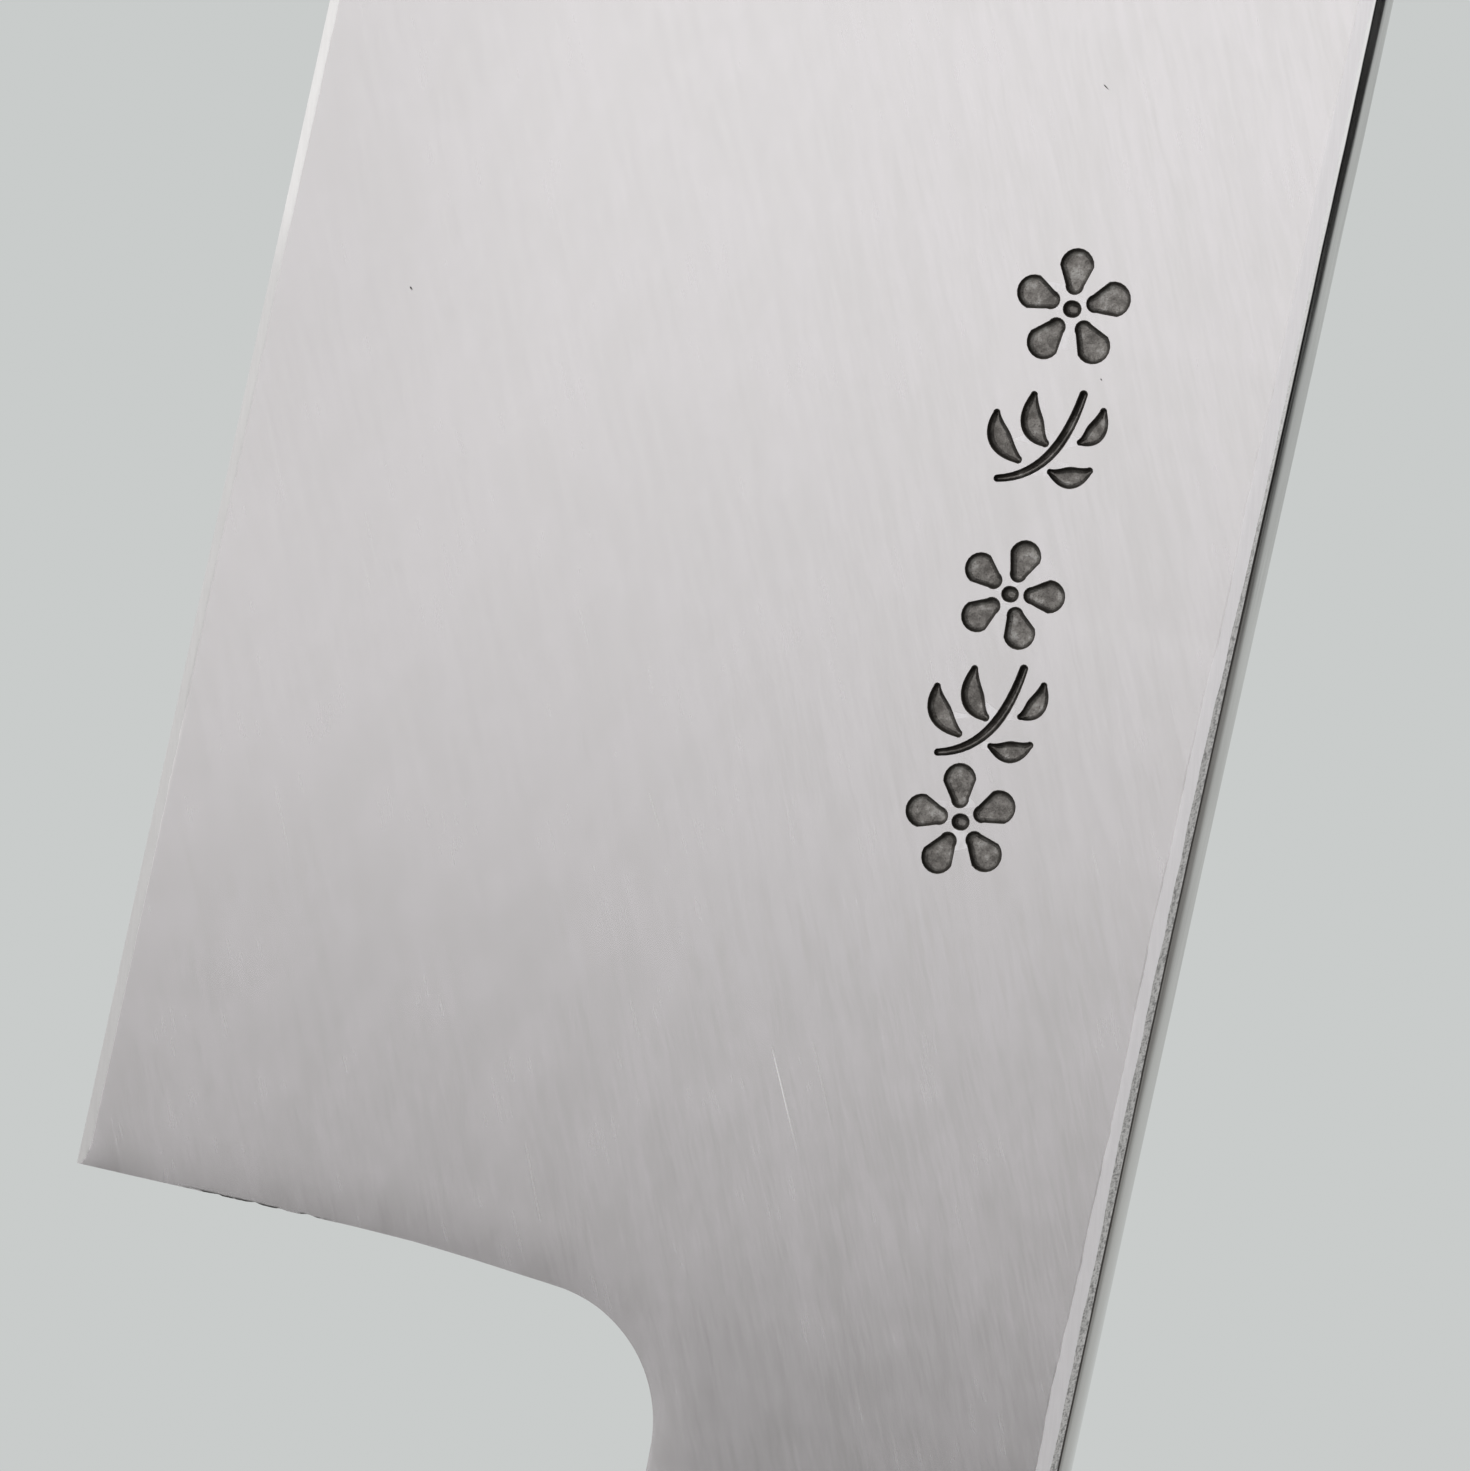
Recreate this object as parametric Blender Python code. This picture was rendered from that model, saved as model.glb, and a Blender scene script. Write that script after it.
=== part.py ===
"""A square-ended Japanese vegetable knife (usuba) for the right hand, built from its real pieces.

The knife stands upright on the flat butt of its handle, as it hangs on a magnetic bar. +Z runs up to
the square end of the blade, +X is the spine and -X the cutting edge, -Y is the hollow-ground back and
+Y the bevelled front. The origin is the middle of the knife's depth and width, at the butt.

The blade is a laminate: a layer of hard steel is forge-welded to a body of soft iron along a flat
plane and feathers out in a scarf in the neck. The iron goes on as the tang, which is driven into a
burnt slot in the wooden handle. A horn ferrule sits on the handle's tenon, and resin closes the slot.
"""
import math

import bmesh
import bpy
from mathutils import Vector

MM = 0.001

# Lengths along the knife, from the square end to the butt.
EDGE_LENGTH = 180.0 * MM
NECK_LENGTH = 15.0 * MM
BARE_TANG_LENGTH = 10.0 * MM
FERRULE_LENGTH = 28.0 * MM
GRIP_LENGTH = 107.0 * MM
TANG_LENGTH = 100.0 * MM

# Heights of the blade, from the cutting edge to the spine, and of its bevel.
BLADE_HEIGHT_AT_HEEL = 47.0 * MM
BLADE_HEIGHT_AT_END = 46.7 * MM
BEVEL_HEIGHT = 23.0 * MM

# Thicknesses of the blade. The front flat also thins from the spine down to the top of the bevel.
SPINE_THICKNESS_AT_HEEL = 4.0 * MM
SPINE_THICKNESS_AT_END = 3.4 * MM
FLAT_THINNING = 0.3 * MM
EDGE_THICKNESS = 0.05 * MM
STEEL_THICKNESS = 1.1 * MM

# The hollow of the back and the flat rims that the stone leaves round it.
HOLLOW_DEPTH = 0.4 * MM
EDGE_RIM = 0.64 * MM
SPINE_RIM = 0.72 * MM
END_RIM = 0.8 * MM
HOLLOW_RUNOUT_AT_END = 6.0 * MM
HOLLOW_RUNOUT_AT_NECK = 6.0 * MM
HOLLOW_END_IN_NECK = 13.0 * MM

# Filed corners of the spine and the eased rim of the neck.
BACK_CHAMFER = 0.32 * MM
FRONT_CHAMFER = 0.35 * MM
NECK_RIM = 0.8 * MM

# The square end: its spine corner lies behind its edge corner and is rounded.
END_LEAN = 1.2 * MM
END_CORNER_RADIUS = 3.0 * MM

# The heel's rear edge, and the round that leads from it into the neck.
HEEL_BEND_HEIGHT = 16.0 * MM
HEEL_BEND_SETBACK = 0.02 * MM
HEEL_BEND_RADIUS = 69.0 * MM
NECK_CORNER_SETBACK = 1.08 * MM
NECK_ROUND_RADIUS = 6.25 * MM
NECK_HEIGHT_AT_HEEL = 18.55 * MM
NECK_HEIGHT_AT_SHOULDER = 18.1 * MM

# The scarf where the steel feathers out, measured from the heel into the neck.
SCARF_START = 8.5 * MM
SCARF_LENGTH = 5.0 * MM

# The tang. Its top lies below the spine line, and it tapers in both directions.
TANG_DROP = 3.2 * MM
TANG_HEIGHT_AT_SHOULDER = 11.6 * MM
TANG_HEIGHT_AT_TIP = 5.0 * MM
TANG_THICKNESS_AT_SHOULDER = 3.2 * MM
TANG_THICKNESS_AT_TIP = 1.8 * MM
TANG_ROOT = 0.8 * MM

# The handle's section: its height, its half width on the round side and its reach at the ridge.
FRONT_HEIGHT = 24.0 * MM
FRONT_ROUND_SIDE = 9.0 * MM
FRONT_RIDGE_SIDE = 9.6 * MM
BUTT_HEIGHT = 27.0 * MM
BUTT_ROUND_SIDE = 10.2 * MM
BUTT_RIDGE_SIDE = 10.9 * MM
RIDGE_DROP = 1.6 * MM
RIDGE_SHARPNESS = 0.26
BUTT_EASE = 1.2 * MM
FERRULE_EASE = 1.0 * MM

# The tenon in the ferrule, the mouth of the slot and its seal.
FERRULE_WALL = 2.8 * MM
TENON_ROOT = 2.0 * MM
SEAL_WALL = 0.6 * MM
SEAL_DEPTH = 4.0 * MM
SLOT_END_ROOM = 1.0 * MM
FIT_GAP = 0.3 * MM

# How finely round shapes are divided.
ARC_STEP = math.radians(6.0)
BLADE_STATIONS = 24
HOLLOW_STEPS = 30
QUARTER_STEPS = 16
TENON_STEPS = 48
EASE_STEPS = 4

# How far a cutter reaches past what it cuts, and how far the profile stands over the spine, so that
# the round of the end corner meets the spine at a slight angle.
PAST = 2.0 * MM
PROFILE_RISE = 0.4 * MM

SHOULDER = -NECK_LENGTH
FERRULE_FRONT = SHOULDER - BARE_TANG_LENGTH
FERRULE_BACK = FERRULE_FRONT - FERRULE_LENGTH
GRIP_FRONT = FERRULE_BACK - FIT_GAP
BUTT = FERRULE_BACK - GRIP_LENGTH
TANG_TIP = SHOULDER - TANG_LENGTH
TANG_MIDDLE_UP = BLADE_HEIGHT_AT_HEEL - TANG_DROP - TANG_HEIGHT_AT_SHOULDER / 2
TANG_MIDDLE_ACROSS = SPINE_THICKNESS_AT_HEEL / 2
EDGE_LINE = -(TANG_MIDDLE_UP + BUTT_HEIGHT / 2) / 2
BACK_PLANE = -TANG_MIDDLE_ACROSS - (BUTT_RIDGE_SIDE - BUTT_ROUND_SIDE) / 2


def at(along, across, up):
    """A point by its distance from the heel toward the square end, from the back and from the edge."""
    return Vector((up, across, along))


def blend(start, end, share):
    """The value that lies a share of the way from start to end."""
    return start + (end - start) * share


def clear_scene():
    """Remove every object, so that the model starts from nothing."""
    for item in list(bpy.data.objects):
        bpy.data.objects.remove(item, do_unlink=True)


def make_finish(name, colour, metallic, roughness):
    """A Principled material of one colour."""
    finish = bpy.data.materials.new(name)
    finish.use_nodes = True
    surface = finish.node_tree.nodes["Principled BSDF"]
    surface.inputs["Base Color"].default_value = (*colour, 1.0)
    surface.inputs["Metallic"].default_value = metallic
    surface.inputs["Roughness"].default_value = roughness
    return finish


def add_object(name, shape, parent):
    """Turn a bmesh into an object that hangs from the heel's empty."""
    bmesh.ops.recalc_face_normals(shape, faces=shape.faces[:])
    mesh = bpy.data.meshes.new(name)
    shape.to_mesh(mesh)
    shape.free()
    item = bpy.data.objects.new(name, mesh)
    item.parent = parent
    bpy.context.collection.objects.link(item)
    return item


def mark_cutter(item):
    """Show a cutter as wire only."""
    item.hide_render = True
    item.display_type = "WIRE"
    return item


def cut(item, cutter, operation):
    """Combine an object with a cutter by a Boolean modifier."""
    step = item.modifiers.new(cutter.name, "BOOLEAN")
    step.operation = operation
    step.solver = "EXACT"
    step.object = cutter


def loft(sections):
    """A closed bmesh through sections that have equally many points."""
    shape = bmesh.new()
    loops = []
    for section in sections:
        points = [shape.verts.new(point) for point in section]
        loops.append(
            [shape.edges.new((points[i - 1], points[i])) for i in range(len(points))]
        )
        if section is sections[0] or section is sections[-1]:
            shape.faces.new(points)
    for first, second in zip(loops, loops[1:]):
        bmesh.ops.bridge_loops(shape, edges=first + second)
    bmesh.ops.recalc_face_normals(shape, faces=shape.faces[:])
    return shape


def rounded(corners):
    """The points of an outline whose corners are given as (along, up, radius)."""
    outline = []
    for i, (along, up, radius) in enumerate(corners):
        corner = Vector((along, up))
        before = Vector(corners[i - 1][:2]) - corner
        after = Vector(corners[(i + 1) % len(corners)][:2]) - corner
        if radius == 0:
            outline.append(corner)
            continue
        half_angle = before.angle(after) / 2
        reach = min(radius / math.tan(half_angle), 0.45 * min(before.length, after.length))
        radius = reach * math.tan(half_angle)
        bisector = (before.normalized() + after.normalized()).normalized()
        centre = corner + bisector * (radius / math.sin(half_angle))
        start = corner + before.normalized() * reach - centre
        end = corner + after.normalized() * reach - centre
        turn = -start.angle_signed(end)
        steps = max(2, math.ceil(abs(turn) / ARC_STEP))
        for step in range(steps + 1):
            angle = turn * step / steps
            outline.append(
                centre
                + Vector(
                    (
                        start.x * math.cos(angle) - start.y * math.sin(angle),
                        start.x * math.sin(angle) + start.y * math.cos(angle),
                    )
                )
            )
    return outline


def spine_up(along):
    """Height of the spine over the cutting edge."""
    return blend(BLADE_HEIGHT_AT_HEEL, BLADE_HEIGHT_AT_END, along / EDGE_LENGTH)


def front_across(along, up):
    """Distance of the front flat from the back plane. The flat is a plane."""
    at_spine = blend(SPINE_THICKNESS_AT_HEEL, SPINE_THICKNESS_AT_END, along / EDGE_LENGTH)
    slope = FLAT_THINNING / (BLADE_HEIGHT_AT_HEEL - BEVEL_HEIGHT)
    return at_spine - slope * (BLADE_HEIGHT_AT_HEEL - up)


def blade_section(along):
    """Cross-section of the blade: back, filed spine corners, front flat, bevel and edge."""
    top = spine_up(along)
    return [
        at(along, 0.0, 0.0),
        at(along, 0.0, top - BACK_CHAMFER),
        at(along, BACK_CHAMFER, top),
        at(along, front_across(along, top) - FRONT_CHAMFER, top),
        at(along, front_across(along, top - FRONT_CHAMFER), top - FRONT_CHAMFER),
        at(along, front_across(along, BEVEL_HEIGHT), BEVEL_HEIGHT),
        at(along, EDGE_THICKNESS, 0.0),
    ]


def make_blade_blank():
    """The blade's cross-section swept from past the square end to the shoulder."""
    start = EDGE_LENGTH + PAST
    return loft(
        [blade_section(blend(start, SHOULDER - PAST, i / BLADE_STATIONS)) for i in range(BLADE_STATIONS + 1)]
    )


def make_profile(parent):
    """The side profile as a plate, with a chamfer round its front that eases the neck."""
    lean = END_LEAN / BLADE_HEIGHT_AT_END
    outline = rounded(
        [
            (EDGE_LENGTH + lean * PAST, -PAST, 0),
            (0.0, -PAST, 0),
            (0.0, 0.0, 0),
            (-HEEL_BEND_SETBACK, HEEL_BEND_HEIGHT, HEEL_BEND_RADIUS),
            (-NECK_CORNER_SETBACK, BLADE_HEIGHT_AT_HEEL - NECK_HEIGHT_AT_HEEL, NECK_ROUND_RADIUS),
            (SHOULDER, BLADE_HEIGHT_AT_HEEL - NECK_HEIGHT_AT_SHOULDER, 0),
            (SHOULDER, spine_up(SHOULDER) + PROFILE_RISE, 0),
            (EDGE_LENGTH - END_LEAN, spine_up(EDGE_LENGTH) + PROFILE_RISE, END_CORNER_RADIUS),
        ]
    )
    front = front_across(SHOULDER, spine_up(SHOULDER)) + EDGE_THICKNESS
    shape = bmesh.new()
    face = shape.faces.new([shape.verts.new(at(p.x, -PAST, p.y)) for p in outline])
    wall = bmesh.ops.extrude_face_region(shape, geom=[face])["geom"]
    lid = [item for item in wall if isinstance(item, bmesh.types.BMFace)]
    lift = Vector((0.0, front - NECK_RIM + PAST, 0.0))
    bmesh.ops.translate(shape, verts=lid[0].verts[:], vec=lift)
    bmesh.ops.inset_region(shape, faces=lid, thickness=NECK_RIM)
    bmesh.ops.translate(shape, verts=lid[0].verts[:], vec=Vector((0.0, NECK_RIM, 0.0)))
    return mark_cutter(add_object("profile_plate", shape, parent))


def hollow_section(along, depth):
    """Cross-section of the hollow between its rims: an arc, closed behind the back plane."""
    low = EDGE_RIM
    high = spine_up(along) - BACK_CHAMFER - SPINE_RIM
    middle = (low + high) / 2
    half = (high - low) / 2
    arc = []
    for i in range(HOLLOW_STEPS + 1):
        share = (2 * i / HOLLOW_STEPS - 1) * HOLLOW_STEPS / (HOLLOW_STEPS - 1)
        arc.append(at(along, depth * (1 - share * share), middle + half * share))
    return [at(along, -PAST, arc[0].x)] + arc + [at(along, -PAST, arc[-1].x)]


def make_hollow(parent):
    """The wheel-ground hollow of the back, which runs out in a curve at both ends."""
    sections = []
    end = EDGE_LENGTH - END_LEAN - END_RIM
    for share in (-0.08, 0.08, 0.25, 0.5, 0.75, 1.0):
        depth = HOLLOW_DEPTH * (1 - (1 - share) ** 2)
        sections.append(hollow_section(end - share * HOLLOW_RUNOUT_AT_END, depth))
    for share in (1.0, 0.75, 0.5, 0.25, 0.08, -0.08):
        depth = HOLLOW_DEPTH * (1 - (1 - share) ** 2)
        sections.append(hollow_section(-HOLLOW_END_IN_NECK + share * HOLLOW_RUNOUT_AT_NECK, depth))
    return mark_cutter(add_object("back_hollow", loft(sections), parent))


def make_steel_zone(parent):
    """The space of the hard steel: a slab along the back that ends in the scarf."""
    run_past = SCARF_LENGTH * PAST / STEEL_THICKNESS
    side = [
        (EDGE_LENGTH + 2 * PAST, -PAST),
        (EDGE_LENGTH + 2 * PAST, STEEL_THICKNESS),
        (-SCARF_START, STEEL_THICKNESS),
        (-SCARF_START - SCARF_LENGTH - run_past, -PAST),
    ]
    top = max(BLADE_HEIGHT_AT_HEEL, BLADE_HEIGHT_AT_END) + PAST
    shape = loft([[at(along, across, up) for along, across in side] for up in (-PAST, top)])
    return mark_cutter(add_object("steel_zone", shape, parent))


def tang_section(along, margin):
    """Rectangular section of the tang, widened by a margin on every side."""
    share = (SHOULDER - along) / TANG_LENGTH
    high = blend(TANG_HEIGHT_AT_SHOULDER, TANG_HEIGHT_AT_TIP, share) / 2 + margin
    wide = blend(TANG_THICKNESS_AT_SHOULDER, TANG_THICKNESS_AT_TIP, share) / 2 + margin
    return [
        at(along, TANG_MIDDLE_ACROSS - wide, TANG_MIDDLE_UP - high),
        at(along, TANG_MIDDLE_ACROSS + wide, TANG_MIDDLE_UP - high),
        at(along, TANG_MIDDLE_ACROSS + wide, TANG_MIDDLE_UP + high),
        at(along, TANG_MIDDLE_ACROSS - wide, TANG_MIDDLE_UP + high),
    ]


def make_blade(parent):
    """The two layers of the blade, cut from one blank along the weld."""
    profile = make_profile(parent)
    hollow = make_hollow(parent)
    steel_zone = make_steel_zone(parent)
    tang = loft([tang_section(SHOULDER + TANG_ROOT, 0.0), tang_section(TANG_TIP, 0.0)])
    tang = mark_cutter(add_object("tang", tang, parent))

    steel = add_object("blade_steel", make_blade_blank(), parent)
    cut(steel, profile, "INTERSECT")
    cut(steel, hollow, "DIFFERENCE")
    cut(steel, steel_zone, "INTERSECT")
    steel.data.materials.append(make_finish("hard_steel", (0.62, 0.61, 0.61), 1.0, 0.28))

    iron = add_object("blade_iron", make_blade_blank(), parent)
    cut(iron, profile, "INTERSECT")
    cut(iron, hollow, "DIFFERENCE")
    cut(iron, steel_zone, "DIFFERENCE")
    cut(iron, tang, "UNION")
    iron.data.materials.append(make_finish("soft_iron", (0.48, 0.48, 0.48), 1.0, 0.42))


def grip_section(along):
    """The chestnut section: half an oval on the back side and a ridge on the front side."""
    share = (FERRULE_FRONT - along) / (FERRULE_FRONT - BUTT)
    half = blend(FRONT_HEIGHT, BUTT_HEIGHT, share) / 2
    round_side = blend(FRONT_ROUND_SIDE, BUTT_ROUND_SIDE, share)
    ridge_side = blend(FRONT_RIDGE_SIDE, BUTT_RIDGE_SIDE, share)
    section = []
    for i in range(-QUARTER_STEPS, QUARTER_STEPS + 1):
        rise = math.sin(math.pi / 2 * i / QUARTER_STEPS)
        reach = half + RIDGE_DROP if rise > 0 else half - RIDGE_DROP
        across = ridge_side * (1 - RIDGE_SHARPNESS * abs(rise)) * math.sqrt(1 - rise * rise)
        section.append(at(along, TANG_MIDDLE_ACROSS + across, TANG_MIDDLE_UP - RIDGE_DROP + reach * rise))
    for i in range(1, 2 * QUARTER_STEPS):
        angle = math.pi / 2 * (1 - i / QUARTER_STEPS)
        across = round_side * math.cos(angle)
        section.append(at(along, TANG_MIDDLE_ACROSS - across, TANG_MIDDLE_UP + half * math.sin(angle)))
    return section


def tenon_section(along, margin):
    """Oval section of the tenon, widened by a margin."""
    high = FRONT_HEIGHT / 2 - FERRULE_WALL + margin
    wide = FRONT_ROUND_SIDE - FERRULE_WALL + margin
    section = []
    for i in range(TENON_STEPS):
        angle = 2 * math.pi * i / TENON_STEPS
        across = TANG_MIDDLE_ACROSS + wide * math.cos(angle)
        section.append(at(along, across, TANG_MIDDLE_UP + high * math.sin(angle)))
    return section


def ease_end(shape, along, width):
    """Round the rim of the end that lies at one place along the knife."""
    rim = [
        edge
        for edge in shape.edges
        if all(abs(vert.co.z - along) < EDGE_THICKNESS for vert in edge.verts)
    ]
    bmesh.ops.bevel(
        shape,
        geom=rim,
        offset=width,
        segments=EASE_STEPS,
        profile=0.5,
        affect="EDGES",
        clamp_overlap=True,
    )


def smooth(item):
    """Shade a round piece smooth, with its real edges left sharp."""
    item.data.shade_smooth()
    item.data.set_sharp_from_angle(angle=math.radians(30))


def make_handle(parent):
    """The ferrule, the wooden handle with its tenon and slot, and the seal in the slot's mouth."""
    slot_end = TANG_TIP - SLOT_END_ROOM
    slot = loft([tang_section(FERRULE_FRONT + PAST, FIT_GAP), tang_section(slot_end, FIT_GAP)])
    slot = mark_cutter(add_object("tang_slot", slot, parent))

    ferrule = loft([grip_section(FERRULE_FRONT), grip_section(FERRULE_BACK)])
    ease_end(ferrule, FERRULE_FRONT, FERRULE_EASE)
    ferrule = add_object("horn_ferrule", ferrule, parent)
    smooth(ferrule)
    bore = loft([tenon_section(FERRULE_FRONT + PAST, FIT_GAP), tenon_section(FERRULE_BACK - PAST, FIT_GAP)])
    cut(ferrule, mark_cutter(add_object("ferrule_bore", bore, parent)), "DIFFERENCE")
    ferrule.data.materials.append(make_finish("horn", (0.018, 0.016, 0.015), 0.0, 0.22))

    grip = loft([grip_section(GRIP_FRONT), grip_section(BUTT)])
    ease_end(grip, BUTT, BUTT_EASE)
    grip = add_object("wood_handle", grip, parent)
    smooth(grip)
    tenon = loft([tenon_section(FERRULE_FRONT, 0.0), tenon_section(GRIP_FRONT - TENON_ROOT, 0.0)])
    cut(grip, mark_cutter(add_object("tenon", tenon, parent)), "UNION")
    cut(grip, slot, "DIFFERENCE")
    mouth_margin = SEAL_WALL + 2 * FIT_GAP
    mouth_end = FERRULE_FRONT - SEAL_DEPTH - FIT_GAP
    mouth = loft([tang_section(FERRULE_FRONT + PAST, mouth_margin), tang_section(mouth_end, mouth_margin)])
    cut(grip, mark_cutter(add_object("slot_mouth", mouth, parent)), "DIFFERENCE")
    grip.data.materials.append(make_finish("magnolia", (0.60, 0.43, 0.27), 0.0, 0.55))

    seal_margin = mouth_margin - FIT_GAP
    seal_end = FERRULE_FRONT - SEAL_DEPTH
    seal = loft([tang_section(FERRULE_FRONT, seal_margin), tang_section(seal_end, seal_margin)])
    seal = add_object("tang_seal", seal, parent)
    cut(seal, slot, "DIFFERENCE")
    seal.data.materials.append(make_finish("resin", (0.09, 0.05, 0.025), 0.0, 0.35))


def main():
    """Build the knife from the heel, which its pieces are placed by."""
    clear_scene()
    heel = bpy.data.objects.new("heel", None)
    heel.location = (EDGE_LINE, BACK_PLANE, -BUTT)
    bpy.context.collection.objects.link(heel)
    make_blade(heel)
    make_handle(heel)


main()
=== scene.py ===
"""A right-handed usuba knife as it looks: fine meshes, procedural finishes and the studio round it.

The knife stands on the butt of its handle. +Z runs up to the square end of the blade, +X is the spine
and -Y the hollow-ground back. Places on the knife are given in millimetres as along (from the heel
toward the square end), height (from the cutting edge toward the spine) and depth (from the back plane
toward the front).
"""

import logging
import math
from collections.abc import Sequence
from dataclasses import dataclass, field
from enum import Enum, IntEnum

import bmesh
import bpy
import numpy as np
from mathutils import Matrix, Vector


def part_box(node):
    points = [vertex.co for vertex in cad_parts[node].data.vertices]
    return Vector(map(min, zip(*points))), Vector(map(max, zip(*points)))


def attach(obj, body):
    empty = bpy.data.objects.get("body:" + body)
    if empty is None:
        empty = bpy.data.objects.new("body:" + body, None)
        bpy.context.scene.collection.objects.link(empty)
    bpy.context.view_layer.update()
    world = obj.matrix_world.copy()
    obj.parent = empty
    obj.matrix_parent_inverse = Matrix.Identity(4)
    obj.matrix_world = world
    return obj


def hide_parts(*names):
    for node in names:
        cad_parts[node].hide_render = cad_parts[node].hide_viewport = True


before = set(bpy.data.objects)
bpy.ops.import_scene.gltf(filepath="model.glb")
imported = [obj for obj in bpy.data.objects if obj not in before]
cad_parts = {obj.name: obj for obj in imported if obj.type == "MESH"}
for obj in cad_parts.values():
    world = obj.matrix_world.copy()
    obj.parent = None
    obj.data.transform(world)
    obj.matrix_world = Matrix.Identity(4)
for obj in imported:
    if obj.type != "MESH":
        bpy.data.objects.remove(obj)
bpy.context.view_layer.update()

MM = 0.001
BODY = "root"
CREASE = math.radians(30.0)
KNOTS = 512

Colour = tuple[float, float, float]
Socket = bpy.types.NodeSocket
Value = Socket | float
BLACK = (0.0, 0.0, 0.0)
log = logging.getLogger("usuba")


class Layer(Enum):
    """The two metals that the blade is forged from."""

    STEEL = "blade_steel"
    IRON = "blade_iron"


class SteelSide(IntEnum):
    """Finish numbers of the steel layer."""

    BACK = 0
    CORNER = 1
    SPINE = 2
    BEVEL = 3
    WALL = 4
    PUNCHED = 5


class IronSide(IntEnum):
    """Finish numbers of the iron body."""

    WALL = 0
    SPINE = 1
    CORNER = 2
    FLAT = 3
    BEVEL = 4
    TANG = 5


class Way(Enum):
    """Directions on the knife, by the axis of the frame that each runs along."""

    HEIGHT = "X"
    DEPTH = "Y"
    LENGTH = "Z"


class Spread(Enum):
    """Directions of lines and grains, in degrees from the knife's length."""

    ALONG_KNIFE = 0.0
    BRUSHED = -25.2
    STONED = -8.0
    FILED = 52.0
    ACROSS = 90.0


# Placing and meshes.


@dataclass(frozen=True)
class Placing:
    """Where the knife's own millimetres lie in the frame.

    Attributes:
        edge_line: X of the cutting edge, in metres.
        back_plane: Y of the flat back, in metres.
        heel: Z of the heel, in metres.
    """

    edge_line: float
    back_plane: float
    heel: float

    @classmethod
    def from_blade(cls, edge_length: float) -> "Placing":
        """Read the place of the blade from its packed steel layer.

        Args:
            edge_length: Length of the cutting edge, in millimetres.

        Returns:
            The placing of the whole knife.
        """
        low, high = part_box(Layer.STEEL.value)
        return cls(low.x, low.y, high.z - edge_length * MM)

    def points(self, along: np.ndarray, height: np.ndarray, depth: np.ndarray) -> np.ndarray:
        """Turn places on the knife into points of the frame.

        Args:
            along: Distances from the heel toward the square end, in millimetres.
            height: Distances from the cutting edge, in millimetres.
            depth: Distances from the back plane, in millimetres.

        Returns:
            Points in metres, with one more axis than the arguments.
        """
        along, height, depth = np.broadcast_arrays(along, height, depth)
        corner = np.array([self.edge_line, self.back_plane, self.heel])
        return np.stack([height, depth, along], axis=-1) * MM + corner

    def fade(
        self, work: "NodeWork", way: Way, start: float, end: float, low: float = 0.0, high: float = 1.0
    ) -> Socket:
        """A value that changes from place to place on the knife.

        Args:
            work: The node tree to draw in.
            way: The direction in which it changes.
            start: Where the change starts, in millimetres.
            end: Where it ends.
            low: The value at the start.
            high: The value at the end.

        Returns:
            The value.
        """
        zero = {Way.HEIGHT: self.edge_line, Way.DEPTH: self.back_plane, Way.LENGTH: self.heel}[way]
        return work.ramp(work.axis(way), zero + start * MM, zero + end * MM, low, high)


def steps_between(start: float, end: float, step: float) -> np.ndarray:
    """Even positions from start to end that lie no further apart than step."""
    return np.linspace(start, end, max(2, math.ceil(abs(end - start) / step) + 1))


def ripple(places: np.ndarray, length: float, seed: int) -> np.ndarray:
    """A smooth random wave between -1 and 1.

    Args:
        places: Where the wave is wanted.
        length: Distance between its turns, in the units of the places.
        seed: Which wave it is.

    Returns:
        The wave's value at each place.
    """
    knots = np.random.default_rng(seed).uniform(-1.0, 1.0, KNOTS)
    spot = places / length + KNOTS / 4
    index = np.floor(spot).astype(int)
    share = spot - index
    share = share * share * (3.0 - 2.0 * share)
    return knots[index % KNOTS] * (1.0 - share) + knots[(index + 1) % KNOTS] * share


def smooth_step(value: np.ndarray, start: float, end: float) -> np.ndarray:
    """The share of the way from start to end, eased at both ends."""
    share = np.clip((value - start) / (end - start), 0.0, 1.0)
    return share * share * (3.0 - 2.0 * share)


def turn_outward(mesh: bpy.types.Mesh) -> None:
    """Make every face of a closed mesh look outward.

    Args:
        mesh: The mesh.
    """
    work = bmesh.new()
    work.from_mesh(mesh)
    bmesh.ops.recalc_face_normals(work, faces=work.faces[:])
    work.to_mesh(mesh)
    work.free()


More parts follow.
